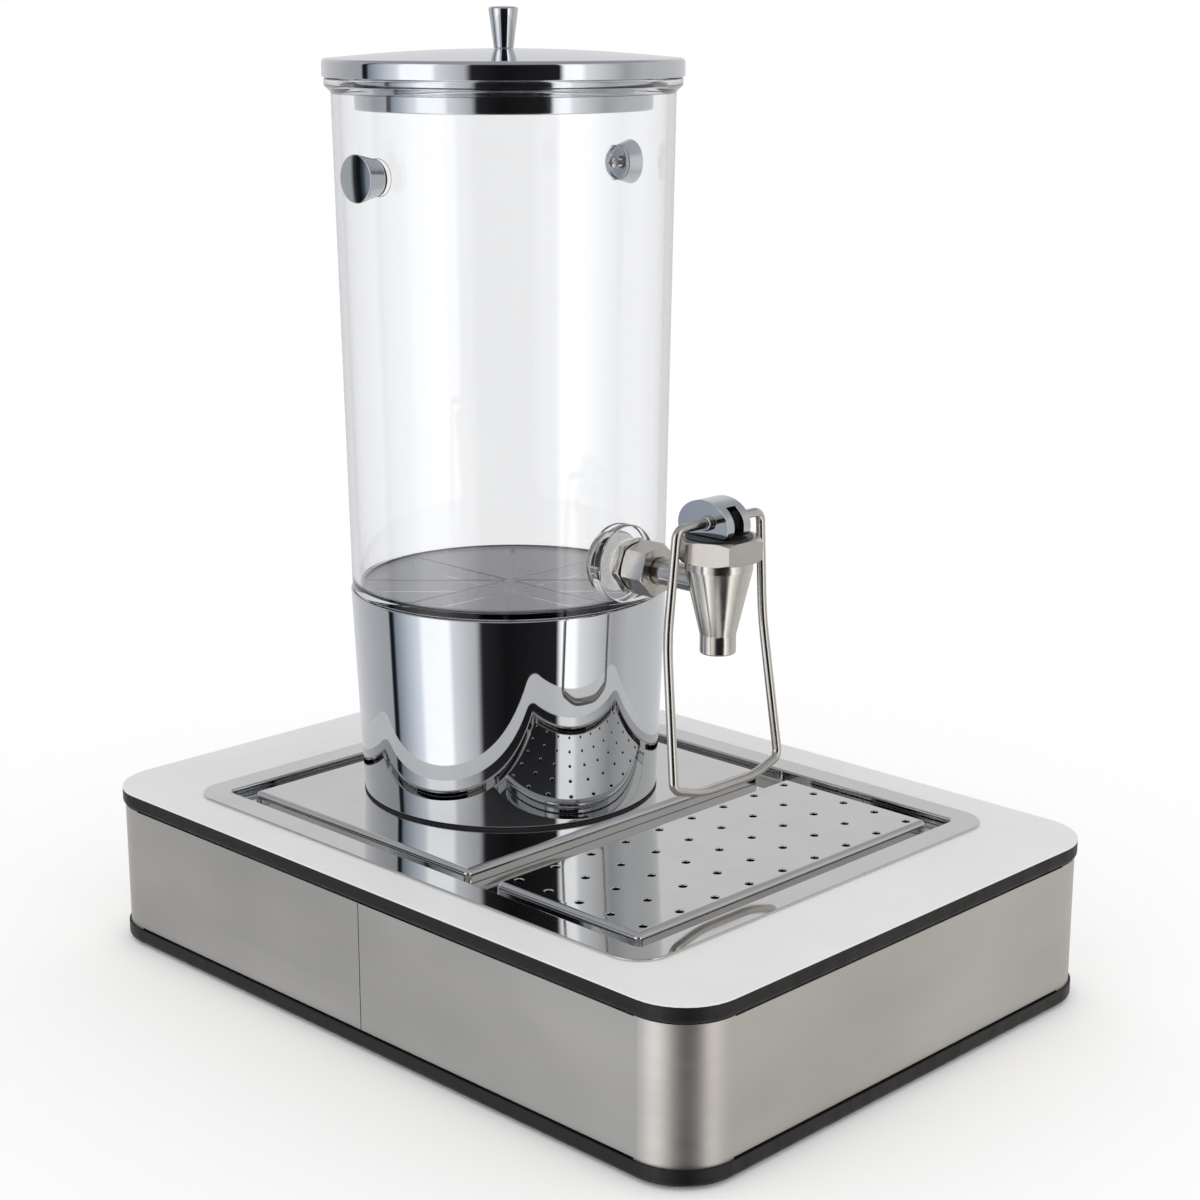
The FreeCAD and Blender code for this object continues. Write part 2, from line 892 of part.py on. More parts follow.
def make_deck_spacer():
    body = make_body("deck_spacer", back="tank_back")
    tall = "gutter_deep - tray_sheet"
    rod(body, "ring", ("0", "0", GUTTER), "spacer_radius", tall)
    rod(body, "bore", ("0", "0", GUTTER), "bolt_radius + bolt_slack", tall, cut=True)
    return body


def make_stand_washer():
    body = make_body("stand_washer", back="tank_back")
    foot = f"({GUTTER} - tray_sheet - washer_thick)"
    rod(body, "ring", ("0", "0", foot), "washer_radius", "washer_thick")
    rod(body, "bore", ("0", "0", foot), "bolt_radius + bolt_slack", "washer_thick", cut=True)
    return body


def make_stand_nut():
    body = make_body("stand_nut", back="tank_back")
    foot = f"({GUTTER} - tray_sheet - washer_thick - nut_tall)"
    prism(body, "hexagon", "bolt_key", foot, "nut_tall")
    rod(body, "bore", ("0", "0", foot), "bolt_radius + stem_fit", "nut_tall", cut=True)
    return body


# ---------------------------------------------------------------------- tank
RIB_COUNT = 8


def make_tank_shell():
    """Clear moulding: tapered wall, floor, spigot, lip and seats for fittings."""
    body = make_body("tank_shell", back="tank_back")
    lip_foot = f"{TANK_TOP} - lip_tall"
    floor_foot = f"{TANK_FLOOR} - floor_thick"
    spigot_foot = f"{SEAT} - spigot_deep"
    lathe(
        body,
        "wall",
        [
            ("0", floor_foot),
            ("spigot_radius - spigot_wall", floor_foot),
            ("spigot_foot_radius - spigot_wall", spigot_foot),
            ("spigot_foot_radius", spigot_foot),
            ("spigot_radius", SEAT),
            ("tank_seat_radius", SEAT),
            ("tank_top_radius", lip_foot),
            ("lip_radius", f"{lip_foot} + lip_radius - tank_top_radius"),
            ("lip_radius", f"{TANK_TOP} - tank_lead"),
            ("lip_radius - tank_lead", TANK_TOP),
            ("tank_top_radius - tank_wall", TANK_TOP),
            ("tank_seat_radius - tank_wall", TANK_FLOOR),
            ("0", TANK_FLOOR),
        ],
    )
    rib = box(
        body,
        "rib",
        "0",
        "spigot_radius - spigot_wall - slack",
        "-rib_thick / 2",
        "rib_thick / 2",
        f"{floor_foot} - rib_tall",
        f"{floor_foot} + past",
    )
    ribs = add_feature(body, "PolarPattern", "ribs")
    ribs.Originals = [rib]
    ribs.Axis = (origin_of(body, "Z_Axis"), [""])
    ribs.Angle = 360
    ribs.Occurrences = RIB_COUNT
    body.Tip = ribs
    doc.recompute()
    rod(
        body,
        "port_boss",
        ("0", "-port_back", "port_height"),
        "port_boss_radius",
        "port_face - port_back",
        way="fore",
    )
    rod(
        body,
        "port_bore",
        ("0", "past - port_back", "port_height"),
        "port_radius + slack",
        "port_face - port_back + 2 * past",
        way="fore",
        cut=True,
    )
    for way, sign in BOTH_SIDES:
        rod(
            body,
            f"grip_boss_{way}",
            (f"{sign}{GRIP_INSIDE}", "0", "grip_height"),
            "grip_boss_radius",
            f"grip_seat - {GRIP_INSIDE}",
            way=way,
        )
        rod(
            body,
            f"grip_bore_{way}",
            (f"{sign}({GRIP_INSIDE} - past)", "0", "grip_height"),
            "screw_radius + slack",
            f"grip_seat - {GRIP_INSIDE} + 2 * past",
            way=way,
            cut=True,
        )
    return body


def make_side_grips():
    """Two flared knobs by which the tank is lifted."""
    body = make_body("side_grips", back="tank_back", up="grip_height")
    for way, sign in BOTH_SIDES:
        grip = add_feature(body, "AdditiveCone", f"grip_{way}")
        grip.Placement = Placement(Vector(), TURNS[way])
        grip.setExpression("Placement.Base.x", bound(f"{sign}grip_seat"))
        grip.setExpression("Radius1", bound("grip_foot_radius"))
        grip.setExpression("Radius2", bound("grip_face_radius"))
        grip.setExpression("Height", bound("grip_long"))
        doc.recompute()
        rod(
            body,
            f"bore_{way}",
            (f"{sign}(grip_seat - past)", "0", "0"),
            "screw_radius + stem_fit",
            "grip_bore_deep + past",
            way=way,
            cut=True,
        )
    return body


def make_grip_screws():
    """Pan-head screws that hold the knobs from inside the tank."""
    body = make_body("grip_screws", back="tank_back", up="grip_height")
    face = f"({GRIP_INSIDE} - screw_head_tall)"
    shank_end = "(grip_seat + grip_bore_deep - slack)"
    for way, sign in BOTH_SIDES:
        rod(
            body,
            f"head_{way}",
            (f"{sign}{face}", "0", "0"),
            "screw_head_radius",
            "screw_head_tall",
            way=way,
        )
        rod(
            body,
            f"shank_{way}",
            (f"{sign}{face}", "0", "0"),
            "screw_radius",
            f"{shank_end} - {face}",
            way=way,
        )
        ends = (f"{sign}({face} - past)", f"{sign}({face} + recess_deep)")
        if sign:
            ends = ends[::-1]
        for name, half_y, half_z in (
            ("flat", "recess_long", "recess_wide"),
            ("upright", "recess_wide", "recess_long"),
        ):
            cross = (f"-{half_y}", half_y, f"-{half_z}", half_z)
            box(body, f"recess_{name}_{way}", *ends, *cross, cut=True)
    return body


# ------------------------------------------------------------------ tap port
def make_port(label):
    """A body on the axis that runs from the tank to the front."""
    return make_body(label, back="tank_back", up="port_height")


def make_port_stub():
    """Threaded stub with a flange inside the tank."""
    body = make_port("port_stub")
    flange_face = "port_back - port_seal_thick"
    lathe(
        body,
        "stub",
        [
            ("port_bore", f"{flange_face} - port_flange_thick"),
            ("port_flange_radius - port_flange_lead", f"{flange_face} - port_flange_thick"),
            ("port_flange_radius", f"{flange_face} - port_flange_thick + port_flange_lead"),
            ("port_flange_radius", flange_face),
            ("port_radius", flange_face),
            ("port_radius", STUB_TIP),
            ("port_bore", STUB_TIP),
        ],
        fore=True,
    )
    return body


def ring_along_port(label, start, outer, inner, thick):
    body = make_port(label)
    rod(body, "ring", ("0", f"-({start})", "0"), outer, thick, way="fore")
    rod(body, "bore", ("0", f"-({start})", "0"), inner, thick, way="fore", cut=True)
    return body


def make_inner_seal():
    start = "port_back - port_seal_thick"
    outer = "port_flange_radius - port_flange_lead"
    inner = "port_radius + port_seal_slack"
    return ring_along_port("inner_seal", start, outer, inner, "port_seal_thick")


def make_outer_seal():
    inner = "port_radius + port_seal_slack"
    return ring_along_port("outer_seal", "port_face", "port_seal_radius", inner, "port_seal_thick")


CHAMFER_SLOPE = round(math.tan(math.radians(30)), 4)


def chamfer_ends(body, corner, start, end, size, fore):
    """Turn the corners off both ends of a hexagon."""
    for name, face, inward in (("near", start, 1), ("far", end, -1)):
        lathe(
            body,
            f"{name}_chamfer",
            [
                (f"{corner} - {size}", face),
                (f"{corner} + past", face),
                (f"{corner} + past", f"{face} + {inward} * ({size} + past) * {CHAMFER_SLOPE}"),
            ],
            cut=True,
            fore=fore,
        )


LOCK_NUT_TURN = 8.0
UNION_NUT_TURN = 12.0
BONNET_TURN = -5.7


def make_lock_nut():
    body = make_port("lock_nut")
    start = "(port_face + port_seal_thick)"
    prism(body, "hexagon", "lock_nut_corner", start, "lock_nut_thick", LOCK_NUT_TURN, "fore")
    chamfer_ends(
        body, "lock_nut_corner", start, f"({start} + lock_nut_thick)", "nut_chamfer", fore=True
    )
    rod(
        body,
        "thread",
        ("0", f"-{start}", "0"),
        "port_radius + stem_fit",
        "lock_nut_thick",
        way="fore",
        cut=True,
    )
    return body


def make_union_nut():
    """Nut that pulls the tap's pipe against the stub."""
    body = make_port("union_nut")
    end = f"({UNION_FOOT} + union_nut_long)"
    collar_end = f"{STUB_TIP} + union_seal_thick + collar_long"
    prism(body, "hexagon", "union_nut_corner", UNION_FOOT, "union_nut_long", UNION_NUT_TURN, "fore")
    chamfer_ends(body, "union_nut_corner", UNION_FOOT, end, "nut_chamfer", fore=True)
    lathe(
        body,
        "bore",
        [
            ("0", f"{UNION_FOOT} - past"),
            ("port_radius + stem_fit", f"{UNION_FOOT} - past"),
            ("port_radius + stem_fit", f"{STUB_TIP} - union_recess"),
            ("collar_radius + slack", f"{STUB_TIP} - union_recess"),
            ("collar_radius + slack", collar_end),
            ("pipe_radius + pipe_slack", collar_end),
            ("pipe_radius + pipe_slack", f"{end} + past"),
            ("0", f"{end} + past"),
        ],
        cut=True,
        fore=True,
    )
    return body


def make_union_seal():
    return ring_along_port("union_seal", STUB_TIP, "port_radius", "port_bore", "union_seal_thick")


def make_tap_pipe():
    """Pipe with a collar, from the stub's seal into the tap's chamber."""
    body = make_port("tap_pipe")
    start = f"({STUB_TIP} + union_seal_thick)"
    end = "(tank_back + tap_front - chamber_radius - pipe_gap)"
    lathe(
        body,
        "pipe",
        [
            ("port_bore", start),
            ("collar_radius", start),
            ("collar_radius", f"{start} + collar_long"),
            ("pipe_radius", f"{start} + collar_long"),
            ("pipe_radius", end),
            ("port_bore", end),
        ],
        fore=True,
    )
    return body


# ----------------------------------------------------------------------- tap
def make_tap(label):
    return make_body(label, back="-tap_front")


def make_tap_body():
    """Conical spout with a chamber above its seat and a threaded neck."""
    body = make_tap("tap_body")
    neck_top = f"{BONNET_FOOT} + neck_tall"
    seat = "nozzle_foot + throat_tall"
    lathe(
        body,
        "spout",
        [
            ("outlet_radius", "nozzle_foot"),
            ("nozzle_radius - nozzle_lead", "nozzle_foot"),
            ("nozzle_radius", "nozzle_foot + nozzle_lead"),
            ("nozzle_radius", "nozzle_foot + nozzle_tall"),
            ("cone_radius", CONE_TOP),
            ("cone_radius", BONNET_FOOT),
            ("neck_radius", BONNET_FOOT),
            ("neck_radius", neck_top),
            ("chamber_radius", neck_top),
            ("chamber_radius", f"{seat} + seat_tall"),
            ("outlet_radius", seat),
        ],
    )
    rod(
        body,
        "pipe_socket",
        ("0", "chamber_radius + pipe_gap + pipe_radius", "port_height"),
        "pipe_radius + stem_fit",
        "pipe_radius",
        way="fore",
        cut=True,
    )
    rod(
        body,
        "inlet",
        ("0", "chamber_radius + 2 * pipe_gap", "port_height"),
        "port_bore",
        "chamber_radius + 2 * pipe_gap",
        way="fore",
        cut=True,
    )
    return body


def make_bonnet():
    """Hexagon cap of the tap, with the stem's guide in its roof."""
    body = make_tap("bonnet")
    prism(body, "hexagon", "bonnet_corner", BONNET_FOOT, "bonnet_tall", BONNET_TURN)
    chamfer_ends(body, "bonnet_corner", BONNET_FOOT, BONNET_TOP, "bonnet_chamfer", fore=False)
    rod(
        body,
        "thread",
        ("0", "0", f"{BONNET_FOOT} - past"),
        "neck_radius + stem_fit",
        "bonnet_tall - bonnet_roof + past",
        cut=True,
    )
    rod(
        body,
        "guide",
        ("0", "0", BONNET_FOOT),
        "stem_radius + stem_fit",
        "bonnet_tall + past",
        cut=True,
    )
    return body


def make_wear_disc():
    body = make_tap("wear_disc")
    rod(body, "disc", ("0", "0", BONNET_TOP), "wear_radius", "wear_thick")
    rod(
        body,
        "bore",
        ("0", "0", f"{BONNET_TOP} - past"),
        "stem_radius + wear_slack",
        "wear_thick + 2 * past",
        cut=True,
    )
    return body


def make_valve_stem():
    """Plastic stem: an eye for the lever's pin, a guided rod and a collar."""
    body = make_tap("valve_stem")
    rod(body, "rod", ("0", "0", "stem_foot"), "stem_radius", "pivot_height - stem_foot")
    rod(body, "collar", ("0", "0", "collar_height"), "stem_collar", "stem_collar_tall")
    box(
        body,
        "eye",
        "-stem_radius",
        "stem_radius",
        "-stem_eye",
        "stem_eye",
        "pivot_height - stem_eye",
        "pivot_height + stem_eye",
    )
    rod(
        body,
        "pin_hole",
        ("-stem_radius - past", "0", "pivot_height"),
        "pin_radius + stem_fit",
        "2 * stem_radius + 2 * past",
        way="right",
        cut=True,
    )
    return body


def make_valve_seal():
    """Rubber cone on the stem's foot that closes the spout."""
    body = make_tap("valve_seal")
    foot = "nozzle_foot + throat_tall + seal_gap"
    top = f"{foot} + seal_tall"
    lathe(
        body,
        "cone",
        [
            ("0", foot),
            ("outlet_radius + seal_lead", foot),
            ("seal_radius", f"{foot} + seal_cone"),
            ("seal_radius", top),
            ("stem_radius", top),
            ("stem_radius", "stem_foot"),
            ("0", "stem_foot"),
        ],
    )
    return body


def make_valve_spring():
    """Compression spring between the stem's collar and the bonnet's roof."""
    foot = number("collar_height + stem_collar_tall + spring_wire")
    top = number(f"{BONNET_TOP} - bonnet_roof - spring_wire")
    radius = number("spring_radius - spring_wire")
    wire = number("spring_wire")
    turns = number("spring_turns")
    spine = Part.makeHelix((top - foot) / turns, top - foot, radius)
    section = Part.Wire(Part.makeCircle(wire, Vector(radius, 0, 0), Vector(0, 1, 0)))
    spring = doc.addObject("Part::Feature", "valve_spring")
    spring.Label = "valve_spring"
    spring.Shape = Part.Wire(spine).makePipeShell([section], True, True)
    spring.Placement = Placement(Vector(0, -number("tap_front"), foot), Rotation())
    return spring


# --------------------------------------------------------------------- lever
def make_lever(label):
    return make_body(label, back="-tap_front", up="pivot_height")


def make_cam():
    """Oval cam with a flat foot, a slot for the stem and a bore for the pin."""
    body = make_lever("cam")
    sketch = make_sketch(body, "YZ_Plane", "-cam_wide / 2")
    middle = Vector(number("cam_back"), -number("cam_dip"), 0)
    long_end = middle + Vector(number("cam_long / 2"), 0, 0)
    top_end = middle + Vector(0, number("cam_tall / 2"), 0)
    sketch.addGeometry(Part.Ellipse(long_end, top_end, middle), False)
    sketch.exposeInternalGeometry(0)
    hold(sketch, 0, 3, "cam_back", "-cam_dip")
    for axis, size in ((1, "cam_long"), (2, "cam_tall")):
        index = sketch.addConstraint(Sketcher.Constraint("Distance", axis, number(size)))
        sketch.setExpression(f"Constraints[{index}]", bound(size))
    sketch.addConstraint(Sketcher.Constraint("Horizontal", 1))
    pad = add_feature(body, "Pad", "oval")
    pad.Profile = sketch
    pad.setExpression("Length", bound("cam_wide"))
    doc.recompute()
    box(
        body,
        "flat",
        "-cam_wide",
        "cam_wide",
        "-cam_long",
        "cam_long",
        "-cam_tall",
        "-cam_flat",
        cut=True,
    )
    flat = -number("cam_flat")
    round_off(
        body,
        "heels",
        "cam_heel",
        lambda edge: abs(edge.BoundBox.ZMin - flat) < NEAR
        and abs(edge.BoundBox.ZMax - flat) < NEAR
        and edge.BoundBox.YLength < NEAR,
    )
    box(
        body,
        "slot",
        "-cam_slot",
        "cam_slot",
        "-cam_long",
        "cam_slot_back",
        "-cam_tall",
        "cam_slot_top",
        cut=True,
    )
    rod(
        body,
        "bore",
        ("-cam_wide", "0", "0"),
        "wire_radius + stem_fit",
        "cam_wide * 2",
        way="right",
        cut=True,
    )
    return body


def make_lever_pin():
    """Axle through the stem's eye; its ends meet the wire inside the cam."""
    body = make_lever("lever_pin")
    end = "(cam_wide / 2 - wire_bite)"
    rod(body, "middle", (f"-{end}", "0", "0"), "pin_radius", f"{end} * 2", way="right")
    return body


def make_bail_collars():
    """Collars that lock the wire against the cam's two faces."""
    body = make_lever("bail_collars")
    for way, sign in BOTH_SIDES:
        place = (f"{sign}cam_wide / 2", "0", "0")
        rod(body, f"collar_{way}", place, "bail_collar_radius", "bail_collar_long", way=way)
        rod(
            body,
            f"bore_{way}",
            place,
            "wire_radius + stem_fit",
            "bail_collar_long",
            way=way,
            cut=True,
        )
    return body


def filleted_path(corners, radii):
    """Straight runs through the corners, joined by tangent arcs."""
    edges = []
    start = corners[0]
    for before, corner, after, radius in zip(corners, corners[1:], corners[2:], radii):
        back = (before - corner).normalize()
        ahead = (after - corner).normalize()
        half_turn = (math.pi - back.getAngle(ahead)) / 2
        setback = radius * math.tan(half_turn)
        enter = corner + back * setback
        leave = corner + ahead * setback
        inward = (back + ahead).normalize()
        centre = corner + inward * (radius / math.cos(half_turn))
        middle = centre - inward * radius
        edges.append(Part.LineSegment(start, enter).toShape())
        edges.append(Part.Arc(enter, middle, leave).toShape())
        start = leave
    edges.append(Part.LineSegment(start, corners[-1]).toShape())
    return Part.Wire(edges)


def make_bail():
    """Bent wire bail that a glass pushes, open where it enters the cam."""
    inside = number("cam_wide / 2 - wire_bite")
    shoulder = number("bail_shoulder")
    knee_drop = number("bail_knee_drop")
    knee = Vector(number("bail_knee_out"), number("bail_knee_back"), -knee_drop)
    foot_drop = number("bail_foot_drop")
    foot = Vector(number("bail_foot_out"), -number("bail_foot_fore"), -foot_drop)
    lean = Vector(0, foot.y - knee.y, foot.z - knee.z).normalize()
    bow = Vector(foot.x / 2, foot.y, foot.z) + lean * number("bail_bow")
    half = [
        Vector(inside, 0, 0),
        Vector(shoulder, 0, 0),
        knee,
        foot,
        bow,
    ]
    mirrored = [Vector(-place.x, place.y, place.z) for place in reversed(half)]
    corners = half + mirrored
    tight = number("bail_bend")
    bends = [tight, number("bail_knee_bend"), tight, number("bail_bow_bend")]
    path = filleted_path(corners, bends + bends[::-1])
    radius = number("wire_radius")
    section = Part.Wire(Part.makeCircle(radius, corners[0], Vector(1, 0, 0)))
    bail = doc.addObject("Part::Feature", "bail")
    bail.Label = "bail"
    bail.Shape = path.makePipeShell([section], True, False)
    bail.Placement = Placement(
        Vector(0, -number("tap_front"), number("pivot_height")), Rotation()
    )
    return bail


# ----------------------------------------------------------------------- lid
def make_lid_shell():
    """Bright cap with a shallow dome and a straight skirt."""
    body = make_body("lid_shell", back="tank_back")
    skirt_top = f"({LID_FOOT} + lid_skirt)"
    lathe(
        body,
        "cap",
        [
            ("screw_radius + slack", f"{LID_TOP} - lid_sheet"),
            ("lid_radius - lid_sheet * 2", f"{skirt_top} - lid_sheet"),
            ("lid_radius - lid_sheet", f"{skirt_top} - lid_bend"),
            ("lid_radius - lid_sheet", LID_FOOT),
            ("lid_radius", LID_FOOT),
            ("lid_radius", f"{skirt_top} - lid_edge"),
            ("lid_radius - lid_edge_corner", f"{skirt_top} - lid_edge_corner"),
            ("lid_radius - lid_edge", skirt_top),
            ("lid_radius * dome_outer_reach", f"{skirt_top} + lid_dome * dome_outer_rise"),
            ("lid_radius * dome_inner_reach", f"{skirt_top} + lid_dome * dome_inner_rise"),
            ("screw_radius + slack", LID_TOP),
        ],
    )
    return body


def make_lid_plate():
    """Flat underplate with the plug ring that centres the lid in the tank."""
    body = make_body("lid_plate", back="tank_back")
    sheet_top = f"({LID_FOOT} + lid_sheet)"
    plug_foot = f"({LID_FOOT} - plug_deep)"
    lathe(
        body,
        "plate",
        [
            ("screw_radius + slack", LID_FOOT),
            ("plug_radius - lid_sheet", LID_FOOT),
            ("plug_radius - lid_sheet", plug_foot),
            ("plug_radius", plug_foot),
            ("plug_radius", LID_FOOT),
            ("lid_radius - lid_sheet - plate_slack", LID_FOOT),
            ("lid_radius - lid_sheet - plate_slack", sheet_top),
            ("screw_radius + slack", sheet_top),
        ],
    )
    return body


def make_lid_knob():
    """Knob that widens upwards, with a slightly domed top."""
    body = make_body("lid_knob", back="tank_back")
    foot = f"({LID_TOP} + plate_slack)"
    top = f"({foot} + knob_tall)"
    lathe(
        body,
        "knob",
        [
            ("0", f"{foot} + knob_bore_tip"),
            ("screw_radius + stem_fit", f"{foot} + knob_bore_deep"),
            ("screw_radius + stem_fit", foot),
            ("knob_foot_radius", foot),
            ("knob_top_radius", f"{top} - knob_shoulder"),
            ("knob_top_radius - knob_lead", f"{top} - knob_crown"),
            ("0", top),
        ],
    )
    return body


def make_lid_screw():
    """Screw that clamps the lid's two plates to the knob from below."""
    body = make_body("lid_screw", back="tank_back")
    rod(
        body,
        "head",
        ("0", "0", f"{LID_FOOT} - screw_head_tall"),
        "screw_head_radius",
        "screw_head_tall",
    )
    rod(
        body,
        "shank",
        ("0", "0", f"{LID_FOOT} - screw_head_tall"),
        "screw_radius",
        f"{LID_TOP} + lid_screw_reach - {LID_FOOT} + screw_head_tall",
    )
    return body


# ------------------------------------------------------------------ assembly
sub_parts = [
    make_rubber_feet(),
    make_bottom_board(),
    make_sleeve("sleeve_front", -1),
    make_sleeve("sleeve_rear", 1),
    make_spacer_posts(),
    make_tie_screws(),
    make_top_board(),
    make_top_laminate(),
    make_tray_pan(),
    make_deck_plate(),
    make_drip_plate(),
    make_deck_spacer(),
    make_stand_mat(),
    make_stand_cup(),
    make_stand_bolt(),
    make_stand_washer(),
    make_stand_nut(),
    make_tank_shell(),
    make_side_grips(),
    make_grip_screws(),
    make_port_stub(),
    make_inner_seal(),
    make_outer_seal(),
    make_lock_nut(),
    make_union_nut(),
    make_union_seal(),
    make_tap_pipe(),
    make_tap_body(),
    make_bonnet(),
    make_wear_disc(),
    make_valve_stem(),
    make_valve_seal(),
    make_valve_spring(),
    make_cam(),
    make_lever_pin(),
    make_bail_collars(),
    make_bail(),
    make_lid_shell(),
    make_lid_plate(),
    make_lid_knob(),
    make_lid_screw(),
]
doc.recompute()

failed = [
    item.Name
    for item in doc.Objects
    if any(word in item.State for word in ("Invalid", "Error"))
]
for part in sub_parts:
    shape = part.Shape
    if shape.isNull() or not shape.isValid() or not shape.Solids:
        failed.append(part.Label)
if failed:
    raise RuntimeError("failed objects: " + ", ".join(failed))

for part in sub_parts:
    part.Shape.exportStep(f"parts/{part.Label}.step")
    print(f"{part.Label}: {len(part.Shape.Solids)} solid(s), {part.Shape.Volume:.0f} mm3")
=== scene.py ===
import json
import math

import bmesh
import bpy
from mathutils import Matrix, Vector

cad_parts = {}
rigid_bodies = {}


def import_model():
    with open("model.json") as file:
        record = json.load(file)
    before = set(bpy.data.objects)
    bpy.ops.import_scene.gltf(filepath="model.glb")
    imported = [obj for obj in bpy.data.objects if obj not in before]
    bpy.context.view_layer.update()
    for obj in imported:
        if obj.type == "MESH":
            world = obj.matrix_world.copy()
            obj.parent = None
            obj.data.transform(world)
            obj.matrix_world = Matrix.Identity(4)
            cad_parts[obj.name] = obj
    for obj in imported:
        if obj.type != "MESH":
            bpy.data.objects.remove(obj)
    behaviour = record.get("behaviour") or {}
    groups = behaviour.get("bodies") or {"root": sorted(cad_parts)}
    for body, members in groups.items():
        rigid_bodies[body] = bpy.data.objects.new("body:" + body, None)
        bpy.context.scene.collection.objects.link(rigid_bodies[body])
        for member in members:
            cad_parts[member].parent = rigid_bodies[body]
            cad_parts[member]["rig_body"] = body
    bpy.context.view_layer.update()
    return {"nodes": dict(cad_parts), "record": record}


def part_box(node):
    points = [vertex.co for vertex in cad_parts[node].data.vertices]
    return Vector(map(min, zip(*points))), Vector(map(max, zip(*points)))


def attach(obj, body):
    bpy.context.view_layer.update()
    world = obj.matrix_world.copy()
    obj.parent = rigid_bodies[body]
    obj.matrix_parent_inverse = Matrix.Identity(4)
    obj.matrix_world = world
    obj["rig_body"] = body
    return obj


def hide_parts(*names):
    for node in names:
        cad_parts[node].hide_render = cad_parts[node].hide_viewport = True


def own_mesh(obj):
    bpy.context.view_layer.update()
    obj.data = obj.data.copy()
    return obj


# A clear drink dispenser on a boxed base.  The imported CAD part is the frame;
# bright, round and folded pieces are rebuilt here as finer meshes in the same
# places, and the rest of the CAD nodes only get their materials.

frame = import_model()

MM = 0.001
TURN = 2 * math.pi
WELD = 1e-7
SHARP = math.radians(32)
ARC_STEP = math.radians(11)
ARC_SHARE = 0.49
NEARLY_STRAIGHT = 0.02
CORNER_STEPS = 10

# Steps round a turned shape, by its size.
LARGE, BROAD, MEDIUM, SMALL, FINE, TINY = 256, 192, 128, 96, 64, 28
NUT_STEPS = 144
PIN_STEPS = 48
SCREW_STEPS = 32


# ------------------------------------------------------------- places
def span(node):
    """Lowest and highest corner of a CAD node in millimetres."""
    low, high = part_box(node)
    return low / MM, high / MM


def middle(node):
    low, high = span(node)
    return (low + high) / 2


def low_z(node):
    return span(node)[0].z


def high_z(node):
    return span(node)[1].z


def half_x(node):
    return span(node)[1].x


TANK_AXIS = middle("stand_cup")
PORT_AXIS = middle("outer_seal")
TAP_AXIS = middle("wear_disc")
PIVOT = middle("lever_pin")
GRIP_AXIS = (0, TANK_AXIS.y, middle("side_grips").z)


# ------------------------------------------------------------- outlines
def fillet(points, closed):
    """Points (a, b, radius) of an outline, with an arc at each radius."""
    out = []
    count = len(points)
    for index, point in enumerate(points):
        a, b = point[0], point[1]
        radius = point[2] if len(point) > 2 else 0
        inner = closed or 0 < index < count - 1
        if not radius or not inner:
            out.append((a, b))
            continue
        here = Vector((a, b))
        back = Vector(points[index - 1][:2]) - here
        ahead = Vector(points[(index + 1) % count][:2]) - here
        spare = ARC_SHARE * min(back.length, ahead.length)
        back.normalize()
        ahead.normalize()
        opening = back.angle(ahead)
        if opening > math.pi - NEARLY_STRAIGHT:
            out.append((a, b))
            continue
        half = opening / 2
        setback = min(radius / math.tan(half), spare)
        radius = setback * math.tan(half)
        centre = here + (back + ahead).normalized() * (radius / math.sin(half))
        first = here + back * setback - centre
        last = here + ahead * setback - centre
        sweep = math.pi - opening
        turns = max(2, math.ceil(sweep / ARC_STEP))
        side = 1 if first.cross(last) > 0 else -1
        for k in range(turns + 1):
            angle = side * sweep * k / turns
            c, s = math.cos(angle), math.sin(angle)
            out.append((centre.x + first.x * c - first.y * s, centre.y + first.x * s + first.y * c))
    return out


# ------------------------------------------------------------- mesh making
def link(name, data):
    """A new object in the scene."""
    made = bpy.data.objects.new(name, data)
    bpy.context.scene.collection.objects.link(made)
    return made


def smooth(mesh):
    """Smooth faces, divided at the sharp edges."""
    mesh.polygons.foreach_set("use_smooth", [True] * len(mesh.polygons))
    mesh.set_sharp_from_angle(angle=SHARP)


def finish_mesh(bm, name):
    """A mesh object from a bmesh in millimetres."""
    bmesh.ops.scale(bm, vec=(MM, MM, MM), verts=bm.verts)
    bmesh.ops.remove_doubles(bm, verts=bm.verts, dist=WELD)
    bmesh.ops.dissolve_degenerate(bm, dist=WELD, edges=bm.edges)
    bmesh.ops.recalc_face_normals(bm, faces=bm.faces)
    mesh = bpy.data.meshes.new(name)
    bm.to_mesh(mesh)
    bm.free()
    smooth(mesh)
    return link(name, mesh)


def even_shading(piece):
    """Let the large faces carry the shading, so flats stay flat beside arcs."""
    mod = piece.modifiers.new("even_shading", "WEIGHTED_NORMAL")
    mod.mode = "FACE_AREA"
    mod.weight = 100
    mod.keep_sharp = True


def join(bm, one, two):
    """Quads between two rings that have the same count of vertices."""
    count = len(one)
    for k in range(count):
        n = (k + 1) % count
        bm.faces.new((one[k], one[n], two[n], two[k]))


def tube(bm, rings):
    """Rings joined into a closed shape, the last one to the first one."""
    for one, two in zip(rings, rings[1:]):
        join(bm, one, two)
    join(bm, rings[-1], rings[0])


def capped(bm, rings):
    """Rings joined into a closed shape with a flat face at each end."""
    for one, two in zip(rings, rings[1:]):
        join(bm, one, two)
    bm.faces.new(rings[0])
    bm.faces.new(rings[-1])


AXES = {
    "up": (Vector((1, 0, 0)), Vector((0, 1, 0)), Vector((0, 0, 1))),
    "fore": (Vector((1, 0, 0)), Vector((0, 0, 1)), Vector((0, -1, 0))),
    "right": (Vector((0, 1, 0)), Vector((0, 0, 1)), Vector((1, 0, 0))),
    "left": (Vector((0, -1, 0)), Vector((0, 0, 1)), Vector((-1, 0, 0))),
}


def spoke_at(way, angle):
    """Direction square to an axis, at an angle round it."""
    across, along, _ = AXES[way]
    return across * math.cos(angle) + along * math.sin(angle)


